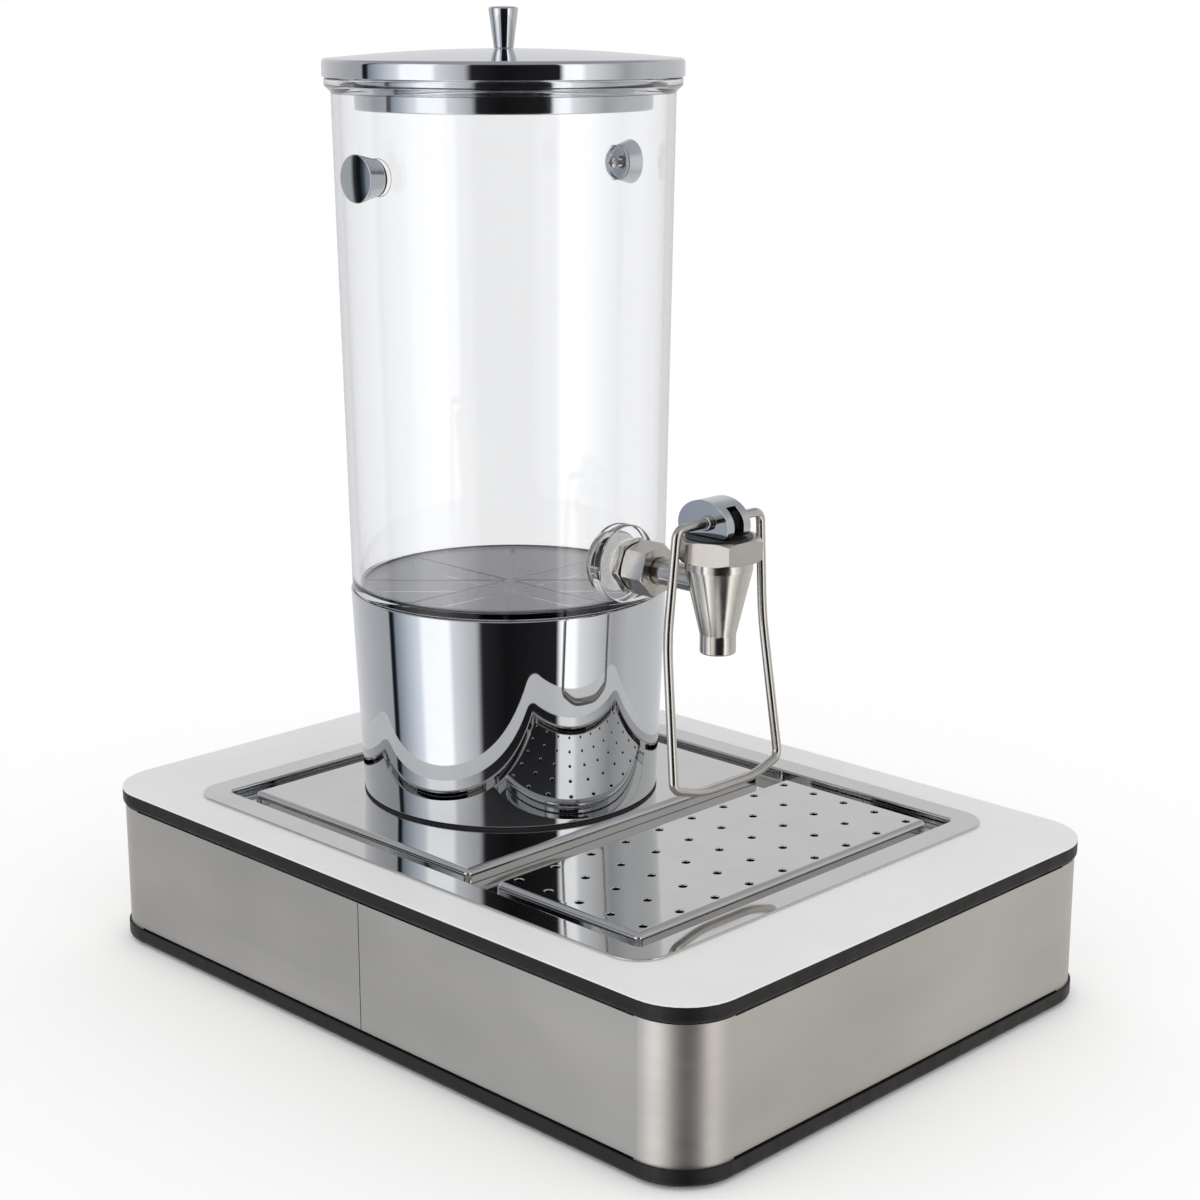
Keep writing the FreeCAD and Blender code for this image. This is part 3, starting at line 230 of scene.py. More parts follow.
def turned(bm, outline, centre, way, steps):
    """Turn a closed outline of (radius, height) points round an axis."""
    rings = []
    for radius, height in outline:
        level = Vector(centre) + AXES[way][2] * height
        spokes = [spoke_at(way, TURN * k / steps) for k in range(steps)]
        rings.append([bm.verts.new(level + spoke * radius) for spoke in spokes])
    tube(bm, rings)


def lathe(name, points, centre, ways, steps):
    """A turned piece, made once for each way that its axis points."""
    bm = bmesh.new()
    for way in ways:
        turned(bm, fillet(points, True), centre, way, steps)
    return finish_mesh(bm, name)


def rect_ring(bm, low, high, radius, height):
    """A rounded rectangle of vertices at one height."""
    radius = max(radius, 0.0)
    corners = (
        (high[0] - radius, low[1] + radius, -0.25),
        (high[0] - radius, high[1] - radius, 0.0),
        (low[0] + radius, high[1] - radius, 0.25),
        (low[0] + radius, low[1] + radius, 0.5),
    )
    ring = []
    for x, y, start in corners:
        for k in range(CORNER_STEPS + 1):
            angle = TURN * (start + 0.25 * k / CORNER_STEPS)
            ring.append(bm.verts.new((x + radius * math.cos(angle), y + radius * math.sin(angle), height)))
    return ring


def rect_rings(bm, low, high, radius, outline):
    """Rings that follow an outline of (offset, height) round a rectangle."""
    return [
        rect_ring(
            bm,
            (low[0] - offset, low[1] - offset),
            (high[0] + offset, high[1] + offset),
            radius + offset,
            height,
        )
        for offset, height in outline
    ]


def cylinder(bm, centre, way, radius, start, end, steps):
    turned(bm, [(0, start), (radius, start), (radius, end), (0, end)], centre, way, steps)


def star(bm, centre, way, arms, reach, half, start, end):
    """Bars that cross on an axis, as one closed shape."""
    notch = TURN / arms / 2
    inner = half / math.sin(notch)
    outer = math.hypot(reach, half)
    spread = math.atan2(half, reach)
    rings = []
    for height in (start, end):
        level = Vector(centre) + AXES[way][2] * height
        ring = []
        for k in range(arms):
            turn = TURN * k / arms
            for radius, angle in ((outer, turn - spread), (outer, turn + spread), (inner, turn + notch)):
                ring.append(bm.verts.new(level + spoke_at(way, angle) * radius))
        rings.append(ring)
    capped(bm, rings)


def slab(bm, low, high):
    """A block between two corners."""
    made = bmesh.ops.create_cube(bm, size=1)
    size = Vector(high) - Vector(low)
    place = (Vector(high) + Vector(low)) / 2
    bmesh.ops.scale(bm, vec=size, verts=made["verts"])
    bmesh.ops.translate(bm, vec=place, verts=made["verts"])


def combine(piece, operation, bm):
    """Boolean with a helper shape, applied at once; the helper is removed."""
    other = finish_mesh(bm, "helper")
    mod = piece.modifiers.new("combine", "BOOLEAN")
    mod.operation = operation
    mod.solver = "EXACT"
    mod.object = other
    graph = bpy.context.evaluated_depsgraph_get()
    mesh = bpy.data.meshes.new_from_object(piece.evaluated_get(graph))
    piece.modifiers.clear()
    piece.data = mesh
    bpy.data.objects.remove(other)
    smooth(mesh)
    return piece


def soften(piece, width):
    """Ease the sharp edges, as handling and polishing do."""
    mod = piece.modifiers.new("soften", "BEVEL")
    mod.width = width * MM
    mod.segments = 3
    mod.limit_method = "ANGLE"
    mod.angle_limit = math.radians(40)
    mod.miter_outer = "MITER_ARC"
    mod.use_clamp_overlap = True


# ------------------------------------------------------------- materials
NOISE_LOW, NOISE_HIGH = 0.3, 0.7
METAL_CLOUD = 35.0
METAL_HAZE = 91.0


class Finish:
    """A Principled material whose nodes are added by name."""

    def __init__(self, name, **values):
        self.material = bpy.data.materials.new(name)
        self.material.use_nodes = True
        self.nodes = self.material.node_tree.nodes
        self.links = self.material.node_tree.links
        self.shader = next(n for n in self.nodes if n.type == "BSDF_PRINCIPLED")
        for key, value in values.items():
            self.set(key.replace("_", " "), value)
        self.place = self.add("ShaderNodeTexCoord").outputs["Object"]

    def socket(self, wanted):
        return next(s for s in self.shader.inputs if s.name.lower() == wanted.lower())

    def set(self, wanted, value):
        self.socket(wanted).default_value = value

    def add(self, kind, **settings):
        node = self.nodes.new(kind)
        for key, value in settings.items():
            setattr(node, key, value)
        return node

    def noise(self, scale, stretch=(1, 1, 1), detail=4, roughness=0.55):
        """Noise in the object's own space; scale is in waves per metre."""
        mapping = self.add("ShaderNodeMapping")
        mapping.inputs["Scale"].default_value = [scale * s for s in stretch]
        self.links.new(self.place, mapping.inputs["Vector"])
        noise = self.add("ShaderNodeTexNoise")
        noise.inputs["Scale"].default_value = 1
        noise.inputs["Detail"].default_value = detail
        noise.inputs["Roughness"].default_value = roughness
        self.links.new(mapping.outputs["Vector"], noise.inputs["Vector"])
        return noise.outputs["Fac"]

    def span(self, source, low, high):
        """Stretch the middle range of a noise to the range from low to high."""
        node = self.add("ShaderNodeMapRange")
        node.inputs["From Min"].default_value = NOISE_LOW
        node.inputs["From Max"].default_value = NOISE_HIGH
        node.inputs["To Min"].default_value = low
        node.inputs["To Max"].default_value = high
        self.links.new(source, node.inputs["Value"])
        return node.outputs["Result"]

    def feed(self, wanted, source):
        self.links.new(source, self.socket(wanted))

    def tint(self, source, dark, light):
        """Base colour that a noise moves between dark and light."""
        node = self.add("ShaderNodeValToRGB")
        stops = ((NOISE_LOW, dark), (NOISE_HIGH, light))
        for element, (position, colour) in zip(node.color_ramp.elements, stops):
            element.position = position
            element.color = (*colour, 1)
        self.links.new(source, node.inputs["Fac"])
        self.feed("Base Color", node.outputs["Color"])

    def bump(self, source, depth, strength=1.0, under=None):
        """Relief of a depth in millimetres."""
        node = self.add("ShaderNodeBump")
        node.inputs["Strength"].default_value = strength
        node.inputs["Distance"].default_value = depth * MM
        self.links.new(source, node.inputs["Height"])
        if under is not None:
            self.links.new(under, node.inputs["Normal"])
        self.feed("Normal", node.outputs["Normal"])
        return node.outputs["Normal"]


def metal(name, dark, light, rough, waves=None, grain=None):
    """Bright metal with cloudy colour, uneven polish and (depth, scale) relief."""
    finish = Finish(name, metallic=1.0)
    finish.tint(finish.noise(METAL_CLOUD, detail=5), dark, light)
    finish.feed("Roughness", finish.span(finish.noise(METAL_HAZE), *rough))
    normal = None
    if waves:
        normal = finish.bump(finish.noise(waves[1], detail=1), waves[0])
    if grain:
        finish.bump(finish.noise(grain[1], detail=2), grain[0], under=normal)
    return finish.material


def make_brushed():
    """Sheet steel brushed along its length, so the grain runs level."""
    finish = Finish("brushed_sheet", metallic=1.0, anisotropic=0.45, anisotropic_rotation=0.25)
    streak = finish.noise(1, (5, 5, 2600), detail=6, roughness=0.7)
    band = finish.noise(1, (2.5, 2.5, 140), detail=3)
    cloud = finish.noise(1, (7, 7, 12), detail=2)
    finish.tint(cloud, (0.56, 0.532, 0.492), (0.685, 0.65, 0.602))
    finish.feed("Roughness", finish.span(band, 0.46, 0.54))
    tangent = finish.add("ShaderNodeTangent", direction_type="RADIAL", axis="Z")
    finish.links.new(tangent.outputs["Tangent"], finish.socket("Tangent"))
    finish.bump(streak, 0.005, 0.5)
    return finish.material


def make_core():
    """Black compact laminate: pressed layers with the router's chatter."""
    finish = Finish("black_core", specular_ior_level=0.32)
    layers = finish.noise(1, (14, 14, 1500), detail=3)
    chatter = finish.noise(1, (160, 160, 60), detail=2)
    finish.tint(layers, (0.005, 0.0045, 0.004), (0.014, 0.012, 0.011))
    finish.feed("Roughness", finish.span(chatter, 0.36, 0.56))
    normal = finish.bump(layers, 0.03, 0.7)
    finish.bump(chatter, 0.05, 0.6, under=normal)
    return finish.material


def make_laminate():
    """White decorative face with a fine pearl texture."""
    finish = Finish("white_face", specular_ior_level=0.4)
    pearl = finish.noise(1400, detail=2)
    finish.tint(finish.noise(18, detail=3), (0.785, 0.785, 0.78), (0.815, 0.815, 0.81))
    finish.feed("Roughness", finish.span(pearl, 0.30, 0.46))
    finish.bump(pearl, 0.012, 0.8)
    return finish.material


def make_clear():
    """Clear moulded plastic with a trace of flow in its surface."""
    finish = Finish("clear_moulding", ior=1.49, transmission_weight=1.0)
    flow = finish.noise(1, (26, 26, 9), detail=2)
    finish.tint(flow, (0.970, 0.973, 0.979), (0.980, 0.983, 0.988))
    finish.feed("Roughness", finish.span(finish.noise(160), 0.0, 0.012))
    finish.bump(flow, 0.012, 0.6)
    return finish.material


def make_silicone():
    """Milky silicone; its faint glow stands for light scattered inside it."""
    finish = Finish("silicone_ring", ior=1.41, transmission_weight=0.5)
    finish.set("Emission Color", (0.9, 0.9, 0.92, 1))
    finish.set("Emission Strength", 0.16)
    cloud = finish.noise(220, detail=3)
    finish.tint(cloud, (0.80, 0.80, 0.79), (0.90, 0.90, 0.885))
    finish.feed("Roughness", finish.span(cloud, 0.25, 0.42))
    finish.bump(finish.noise(900), 0.01, 0.6)
    return finish.material


def dull(name, dark, light, rough, grain):
    """Rubber or moulded plastic with a fine uneven skin."""
    finish = Finish(name, specular_ior_level=0.4)
    skin = finish.noise(grain[1], detail=3)
    finish.tint(finish.noise(90, detail=4), dark, light)
    finish.feed("Roughness", finish.span(skin, *rough))
    finish.bump(skin, grain[0], 0.7)
    return finish.material


LOOKS = {
    "board_core": make_core(),
    "white_laminate": make_laminate(),
    "brushed_sleeve": make_brushed(),
    "tray_steel": metal(
        "polished_tray",
        dark=(0.63, 0.625, 0.615),
        light=(0.67, 0.665, 0.655),
        rough=(0.035, 0.06),
        waves=(0.012, 14.0),
    ),
    "cup_chrome": metal(
        "bright_chrome",
        dark=(0.595, 0.61, 0.63),
        light=(0.625, 0.64, 0.66),
        rough=(0.01, 0.03),
        waves=(0.006, 18.0),
        grain=(0.0001, 1500.0),
    ),
    "tap_steel": metal(
        "polished_tap",
        dark=(0.58, 0.55, 0.51),
        light=(0.66, 0.625, 0.58),
        rough=(0.14, 0.22),
        waves=(0.004, 60.0),
        grain=(0.0008, 1600.0),
    ),
    "clear_plastic": make_clear(),
    "clear_silicone": make_silicone(),
    "black_rubber": dull(
        "soft_rubber",
        dark=(0.010, 0.010, 0.010),
        light=(0.022, 0.022, 0.023),
        rough=(0.55, 0.8),
        grain=(0.03, 900.0),
    ),
    "black_nylon": dull(
        "dark_nylon",
        dark=(0.008, 0.008, 0.009),
        light=(0.018, 0.018, 0.019),
        rough=(0.28, 0.45),
        grain=(0.008, 1200.0),
    ),
    "plated_fastener": metal(
        "plated_steel",
        dark=(0.50, 0.50, 0.51),
        light=(0.62, 0.62, 0.63),
        rough=(0.16, 0.28),
        grain=(0.002, 1400.0),
    ),
    "aluminium_post": metal(
        "turned_aluminium",
        dark=(0.66, 0.665, 0.67),
        light=(0.78, 0.785, 0.79),
        rough=(0.22, 0.36),
        grain=(0.004, 1500.0),
    ),
}

# Inside of the cup: the rougher drawn finish is real, while the lighter lilac colour is painted
# reflection.
CUP_INSIDE_DULL_AND_PAINTED_REFLECTION = metal(
    "drawn_inside_painted_reflection",
    dark=(0.76, 0.75, 0.79),
    light=(0.82, 0.81, 0.85),
    rough=(0.34, 0.46),
    grain=(0.002, 1400.0),
)

SLOT_OF = {row["node"]: row["material_slot"] for row in frame["record"]["subparts"]}


def place_piece(piece, node):
    """Give a rebuilt piece the body, slot and finish of the node it stands for."""
    slot = SLOT_OF[node]
    piece.data.materials.clear()
    piece.data.materials.append(LOOKS[slot])
    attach(piece, frame["nodes"][node]["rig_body"])
    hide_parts(node)


for name, node in frame["nodes"].items():
    node.data.materials.clear()
    node.data.materials.append(LOOKS[SLOT_OF[name]])


# ------------------------------------------------------------- base and tray
# Sizes are in millimetres.  The third value of an outline's point rounds it.
# AIR keeps clear pieces off what is pressed on them, as coinciding faces come
# out black.  LEDGE, BASIN_FLOOR and PLATE_TOP say how far from an edge the flat
# face starts.
AIR = 0.06
SHEET = 1.2
BOARD_CORNER = 29.2
WINDOW_CORNER = 8.0
RIM_WIDE = 14.6
GUTTER_DEEP = 7.0
BASIN_CORNER = 6.8
BASIN_INSET = 8.6
BASIN_FLOOR = 24.0
LEDGE = 8.0
PLATE_CORNER = 3.0
PLATE_TOP = 12.0
BOLT_HOLE = 4.3
PUNCH = 5.0
HOLE_RADIUS = 2.0
HOLE_MOUTH = 4.0
HOLE_DEEP = 4.0
HOLE_COLUMNS, HOLE_ROWS = 9, 5
COLUMN_PITCH, ROW_PITCH = 24, 20
DECK = high_z("tray_pan")
GUTTER = DECK - GUTTER_DEEP
TANK_LINE = (0, TANK_AXIS.y, 0)


def plan(node):
    """The lowest and highest corner of a node in plan."""
    low, high = span(node)
    return (low.x, low.y), (high.x, high.y)


def grown(rect, by):
    (x0, y0), (x1, y1) = rect
    return (x0 - by, y0 - by), (x1 + by, y1 + by)


def make_laminate_face():
    low, high = low_z("top_laminate"), high_z("top_laminate")
    window = grown(plan("tray_pan"), 2 * SHEET - RIM_WIDE)
    bm = bmesh.new()
    edge = fillet([(-1, low), (0, low), (0, high, 0.25), (-1, high)], False)[1:-1]
    rings = rect_rings(bm, *plan("top_laminate"), BOARD_CORNER, edge)
    rings += rect_rings(bm, *window, WINDOW_CORNER, [(0, high), (0, low)])
    tube(bm, rings)
    return finish_mesh(bm, "laminate_face")


def bolt_hole(piece, level):
    """The hole that the cup's bolt passes through."""
    bm = bmesh.new()
    cylinder(bm, TANK_LINE, "up", BOLT_HOLE, level - PUNCH, level + PUNCH, SMALL)
    return combine(piece, "DIFFERENCE", bm)


def make_tray():
    """Rim, gutter and basin pressed from one sheet."""
    wall = grown(plan("tray_pan"), -RIM_WIDE)
    basin = grown(plan("drip_plate"), -BASIN_INSET)
    floor = low_z("tray_pan")
    under = GUTTER - SHEET
    below = [(-BASIN_FLOOR, floor), (SHEET, floor, 5), (SHEET, under, 0.8), (LEDGE, under)]
    above = [(LEDGE, GUTTER), (0, GUTTER, 1.6), (0, floor + SHEET, 4), (-BASIN_FLOOR, floor + SHEET)]
    lip = [
        (-LEDGE, under),
        (SHEET, under, 2.4),
        (SHEET, DECK - SHEET, 0.3),
        (RIM_WIDE, DECK - SHEET, 0.3),
        (RIM_WIDE, DECK, 0.5),
        (0, DECK, 1.1),
        (0, GUTTER, 1.4),
        (-LEDGE, GUTTER),
    ]
    bm = bmesh.new()
    rings = rect_rings(bm, *basin, BASIN_CORNER, fillet(below, False))
    rings += rect_rings(bm, *wall, PLATE_CORNER, fillet(lip, False))
    rings += rect_rings(bm, *basin, BASIN_CORNER, fillet(above, False))
    capped(bm, rings)
    return bolt_hole(finish_mesh(bm, "tray"), GUTTER)


def rolled_plate(name, node):
    """A plate whose edges roll over into a skirt."""
    foot = low_z(node)
    outline = [
        (-PLATE_TOP, DECK - SHEET),
        (-SHEET, DECK - SHEET, 2.0),
        (-SHEET, foot, 0.4),
        (0, foot, 0.4),
        (0, DECK, 3.2),
        (-PLATE_TOP, DECK),
    ]
    bm = bmesh.new()
    capped(bm, rect_rings(bm, *plan(node), PLATE_CORNER, fillet(outline, False)))
    return finish_mesh(bm, name)


def make_deck():
    return bolt_hole(rolled_plate("deck", "deck_plate"), DECK)


def make_drip_grid():
    """The drip plate with its rows of punched holes, their edges drawn in."""
    plate = rolled_plate("drip_grid", "drip_plate")
    centre = middle("drip_plate")
    punch = [
        (0, DECK - HOLE_DEEP),
        (HOLE_RADIUS, DECK - HOLE_DEEP),
        (HOLE_RADIUS, DECK, 0.5),
        (HOLE_MOUTH, DECK),
        (HOLE_MOUTH, DECK + SHEET),
        (0, DECK + SHEET),
    ]
    bm = bmesh.new()
    for column in range(HOLE_COLUMNS):
        for row in range(HOLE_ROWS):
            x = centre.x + COLUMN_PITCH * (column - HOLE_COLUMNS // 2)
            y = centre.y + ROW_PITCH * (row - HOLE_ROWS // 2)
            turned(bm, fillet(punch, True), (x, y, 0), "up", TINY)
    return combine(plate, "DIFFERENCE", bm)


# ------------------------------------------------------------- cup
CUP_FOOT = 76.7
CUP_RIM = 81.3
CUP_WALL = 1.6
CUP_FLOOR = 2.0
CUP_LINING = 79.2
SIDEWAYS = 0.5


def make_cup():
    foot, rim = low_z("stand_cup"), high_z("stand_cup")
    outline = [
        (BOLT_HOLE, foot),
        (CUP_FOOT, foot, 1.0),
        (CUP_RIM, rim, 0.7),
        (CUP_RIM - CUP_WALL, rim, 0.7),
        (CUP_FOOT - CUP_WALL, foot + CUP_FLOOR, 1.5),
        (BOLT_HOLE, foot + CUP_FLOOR),
    ]
    return lathe("cup", outline, TANK_LINE, ("up",), LARGE)


def dull_inside_with_painted_reflection(cup):
    """The cup is only polished outside; its inside is left duller, as it was drawn, and its lighter lilac
    colour there is painted reflection.
    """
    cup.data.materials.append(CUP_INSIDE_DULL_AND_PAINTED_REFLECTION)
    for face in cup.data.polygons:
        away = face.center - TANK_AXIS * MM
        away.z = 0
        inward = face.normal.dot(away.normalized()) < -SIDEWAYS
        if inward or (face.normal.z > SIDEWAYS and away.length < CUP_LINING * MM):
            face.material_index = 1


# ------------------------------------------------------------- tank
# The port's places are measured forward from the middle of the base, and those
# of the grips, their seats and their screws outward from the tank's axis.
SPIGOT_TALL = 42.0
SPIGOT_FOOT = 77.4
SPIGOT_TOP = 79.2
SPIGOT_WALL = 3.2
TANK_FLOOR = 2.1
FLOOR_THICK = 5.0
TANK_FOOT = 80.5
TANK_TOP = 84.8
TANK_WALL = 4.0
WALL_STEPS = 12
LIP_TALL = 7.0
LIP_REACH = 3.2
RIBS = 8
RIB_REACH = 75.6
RIB_HALF = 1.2
RIB_DEEP = 11.0
RIB_SUNK = 1.0
BOSS_RADIUS = 19.2
BOSS_BACK, BOSS_FRONT = 19.5, 30.0
PORT_RADIUS = 7.2
PORT_START, PORT_END = 15.0, 34.0
PORT = (0, 0, PORT_AXIS.z)
SIDES = ("right", "left")
GRIP_SEAT = 84.8
SEAT_BACK = 79.2
GRIP_FOOT = 9.0
GRIP_FACE = 11.5
FACE_RADIUS = 10.4
FACE_DOME = 0.27
FACE_EDGE = 0.33
FACE_STEPS = 8
GRIP_BORE = 7.7
SCREW_HOLE = 2.2
SCREW_HOLE_START, SCREW_HOLE_END = 76.0, 90.0
SCREW_BORE = 2.05
SCREW_RADIUS = 2.0
SCREW_TIP = 92.3
HEAD_RADIUS = 3.4
HEAD_EDGE = 77.6
HEAD_CROWN = 76.6
CROWN_RADIUS, CROWN_DROP = 1.8, 0.05
CROSS_REACH, CROSS_HALF = 2.0, 0.45
CROSS_START, CROSS_END = 76.0, 78.0


def run_up(start, end):
    """The points between two ends of a straight wall, in even steps."""
    return [Vector(start).lerp(Vector(end), k / WALL_STEPS)[:] for k in range(1, WALL_STEPS)]


def make_tank():
    """Wall, floor and spigot in one turn, then the ribs, seats and bores."""
    foot, top = low_z("tank_shell"), high_z("tank_shell")
    seat = foot + SPIGOT_TALL + AIR
    floor = seat + TANK_FLOOR
    under = floor - FLOOR_THICK
    lip = top - LIP_TALL
    lip_radius = TANK_TOP + LIP_REACH
    outline = [
        (0, under),
        (SPIGOT_TOP - SPIGOT_WALL, under, 1.5),
        (SPIGOT_FOOT - SPIGOT_WALL, foot, 0.8),
        (SPIGOT_FOOT, foot, 0.8),
        (SPIGOT_TOP, seat, 0.3),
        (TANK_FOOT, seat, 0.8),
        *run_up((TANK_FOOT, seat), (TANK_TOP, lip)),
        (TANK_TOP, lip, 1.2),
        (lip_radius, lip + LIP_REACH, 0.6),
        (lip_radius, top, 0.9),
        (TANK_TOP - TANK_WALL, top, 0.9),
        *run_up((TANK_TOP - TANK_WALL, top), (TANK_FOOT - TANK_WALL, floor)),
        (TANK_FOOT - TANK_WALL, floor, 3.0),
        (0, floor),
    ]
    tank = lathe("tank", outline, TANK_LINE, ("up",), LARGE)
    bm = bmesh.new()
    star(bm, TANK_LINE, "up", RIBS, RIB_REACH, RIB_HALF, floor - RIB_DEEP, under + RIB_SUNK)
    back, front = BOSS_BACK + AIR, BOSS_FRONT - AIR
    boss = [(0, back), (BOSS_RADIUS, back, 0.8), (BOSS_RADIUS, front, 0.8), (0, front)]
    turned(bm, fillet(boss, True), PORT, "fore", MEDIUM)
    near, far = SEAT_BACK + AIR, GRIP_SEAT - AIR
    pad = [(0, near), (GRIP_FOOT, near, 0.5), (GRIP_FOOT, far, 0.2), (0, far)]
    for way in SIDES:
        turned(bm, fillet(pad, True), GRIP_AXIS, way, SMALL)
    combine(tank, "UNION", bm)
    bm = bmesh.new()
    cylinder(bm, PORT, "fore", PORT_RADIUS, PORT_START, PORT_END, FINE)
    for way in SIDES:
        cylinder(bm, GRIP_AXIS, way, SCREW_HOLE, SCREW_HOLE_START, SCREW_HOLE_END, SCREW_STEPS)
    return combine(tank, "DIFFERENCE", bm)


def make_grips():
    outer = half_x("side_grips")
    steps = [k / FACE_STEPS for k in range(FACE_STEPS, -1, -1)]
    outline = [
        (0, GRIP_SEAT + GRIP_BORE),
        (SCREW_BORE, GRIP_SEAT + GRIP_BORE),
        (SCREW_BORE, GRIP_SEAT),
        (GRIP_FOOT, GRIP_SEAT, 0.5),
        (GRIP_FACE, outer - FACE_EDGE, 0.8),
        *((FACE_RADIUS * share, outer - FACE_DOME * share**2) for share in steps),
    ]
    return lathe("grips", outline, GRIP_AXIS, SIDES, MEDIUM)


def make_grip_screws():
    outline = [
        (0, HEAD_CROWN),
        (CROWN_RADIUS, HEAD_CROWN + CROWN_DROP, 2),
        (HEAD_RADIUS, HEAD_EDGE, 0.6),
        (HEAD_RADIUS, SEAT_BACK, 0.1),
        (SCREW_RADIUS, SEAT_BACK),
        (SCREW_RADIUS, SCREW_TIP),
        (0, SCREW_TIP),
    ]
    screws = lathe("grip_screw_pair", outline, GRIP_AXIS, SIDES, FINE)
    bm = bmesh.new()
    for way in SIDES:
        star(bm, GRIP_AXIS, way, 4, CROSS_REACH, CROSS_HALF, CROSS_START, CROSS_END)
    return combine(screws, "DIFFERENCE", bm)


# ------------------------------------------------------------- port and tap
# Places along the port are measured forward from the middle of the base.
WATERWAY = 4.5
STUB_RADIUS = 7.0
NUT_BORE = 7.05
NUT_EASE = 0.28
NUT_CHAMFER = (2.6, 1.5)
LOCK_FLAT, LOCK_CORNER, LOCK_TURN = 12.3, 13.9, 8
UNION_FLAT, UNION_CORNER, UNION_TURN = 11.8, 13.4, 12
UNION_THROAT, UNION_ROOM = 7.3, 8.4
UNION_ROOM_BACK = 44.0
STUB_BACK, STUB_FRONT = 15, 46
FLANGE_RADIUS = 15.3
FLANGE_FRONT = 18
LOCK_BACK, LOCK_FRONT = 31.5, 36.5
UNION_BACK, UNION_FRONT = 37.3, 51.3
COLLAR_RADIUS = 8.2
COLLAR_FRONT = 50.0
PIPE_RADIUS = 6.4
PIPE_BACK, PIPE_FRONT = 47, 77.2
TAP_LINE = (0, TAP_AXIS.y, 0)


def nut(name, outline, corner, start, end, centre, way, turn):
    """A hexagon bar cut down by a turned outline with its chamfers and bore."""
    piece = lathe(name, outline, centre, (way,), NUT_STEPS)
    bm = bmesh.new()
    rings = []
    for height in (start - 1, end + 1):
        level = Vector(centre) + AXES[way][2] * height
        spokes = [spoke_at(way, math.radians(turn) + TURN * k / 6) for k in range(6)]
        rings.append([bm.verts.new(level + spoke * corner) for spoke in spokes])
    capped(bm, rings)
    combine(piece, "INTERSECT", bm)
    soften(piece, NUT_EASE)
    return piece


def chamfered(radius, start, end, reach, rise):
    """The outside of a nut's outline, with a chamfer at both ends."""
    wide = radius + reach
    return [(radius, start), (wide, start + rise), (wide, end - rise), (radius, end)]


def make_stub():
    front = FLANGE_FRONT - AIR
    outline = [
        (WATERWAY, STUB_BACK),
        (FLANGE_RADIUS, STUB_BACK, 1.2),
        (FLANGE_RADIUS, front, 0.2),
        (STUB_RADIUS, front),
        (STUB_RADIUS, STUB_FRONT),
        (WATERWAY, STUB_FRONT),
    ]
    return lathe("stub", outline, PORT, ("fore",), MEDIUM)


def make_locking_nut():
    outline = [
        (NUT_BORE, LOCK_BACK),
        *chamfered(LOCK_FLAT, LOCK_BACK, LOCK_FRONT, *NUT_CHAMFER),
        (NUT_BORE, LOCK_FRONT),
    ]
    return nut("locking_nut", outline, LOCK_CORNER, LOCK_BACK, LOCK_FRONT, PORT, "fore", LOCK_TURN)


def make_joining_nut():
    """The union nut, hollowed for the pipe's collar and the seal."""
    outline = [
        (NUT_BORE, UNION_BACK),
        *chamfered(UNION_FLAT, UNION_BACK, UNION_FRONT, *NUT_CHAMFER),
        (UNION_THROAT, UNION_FRONT),
        (UNION_THROAT, COLLAR_FRONT),
        (UNION_ROOM, COLLAR_FRONT),
        (UNION_ROOM, UNION_ROOM_BACK),
        (NUT_BORE, UNION_ROOM_BACK),
    ]
    return nut("joining_nut", outline, UNION_CORNER, UNION_BACK, UNION_FRONT, PORT, "fore", UNION_TURN)


def make_pipe():
    outline = [
        (WATERWAY, PIPE_BACK),
        (COLLAR_RADIUS, PIPE_BACK, 0.3),
        (COLLAR_RADIUS, COLLAR_FRONT, 0.3),
        (PIPE_RADIUS, COLLAR_FRONT, 0.4),
        (PIPE_RADIUS, PIPE_FRONT),
        (WATERWAY, PIPE_FRONT),
    ]
    return lathe("pipe", outline, PORT, ("fore",), SMALL)


SPOUT_MOUTH = 6.0
SPOUT_TIP = 8.65
SPOUT_BODY = 16.3
SPOUT_NECK = 13.4
CHAMBER = 10.5
TIP_TALL = 9.1
MOUTH_TALL = 20.0
CHAMBER_FOOT = 26.0
CONE_TALL = 41.3
BODY_TALL = 45.7
SPOUT_TALL = 52.3
BONNET_BORE = 13.45
BONNET_FLAT = 19.1
BONNET_ROOF = 3.6
BONNET_CHAMFER = (3.4, 1.96)
BONNET_CORNER, BONNET_TURN = 21.5, -5.7
STEM_HOLE = 3.05
DRILL_START, DRILL_END = 60.0, 85.0
SOCKET_SLACK, SOCKET_DEEPER = 0.05, 0.4


def make_spout():
    foot = low_z("tap_body")
    outline = [
        (SPOUT_MOUTH, foot, 0.3),
        (SPOUT_TIP, foot, 0.8),
        (SPOUT_TIP, foot + TIP_TALL, 5.0),
        (SPOUT_BODY, foot + CONE_TALL, 0.8),
        (SPOUT_BODY, foot + BODY_TALL, 0.5),
        (SPOUT_NECK, foot + BODY_TALL),
        (SPOUT_NECK, foot + SPOUT_TALL, 0.4),
        (CHAMBER, foot + SPOUT_TALL, 0.3),
        (CHAMBER, foot + CHAMBER_FOOT),
        (SPOUT_MOUTH, foot + MOUTH_TALL),
    ]
    spout = lathe("spout", outline, TAP_LINE, ("up",), BROAD)
    socket, step = PIPE_RADIUS + SOCKET_SLACK, PIPE_FRONT + SOCKET_DEEPER
    drill = [
        (0, DRILL_START),
        (socket, DRILL_START),
        (socket, step),
        (WATERWAY, step),
        (WATERWAY, DRILL_END),
        (0, DRILL_END),
    ]
    bm = bmesh.new()
    turned(bm, drill, PORT, "fore", FINE)
    return combine(spout, "DIFFERENCE", bm)


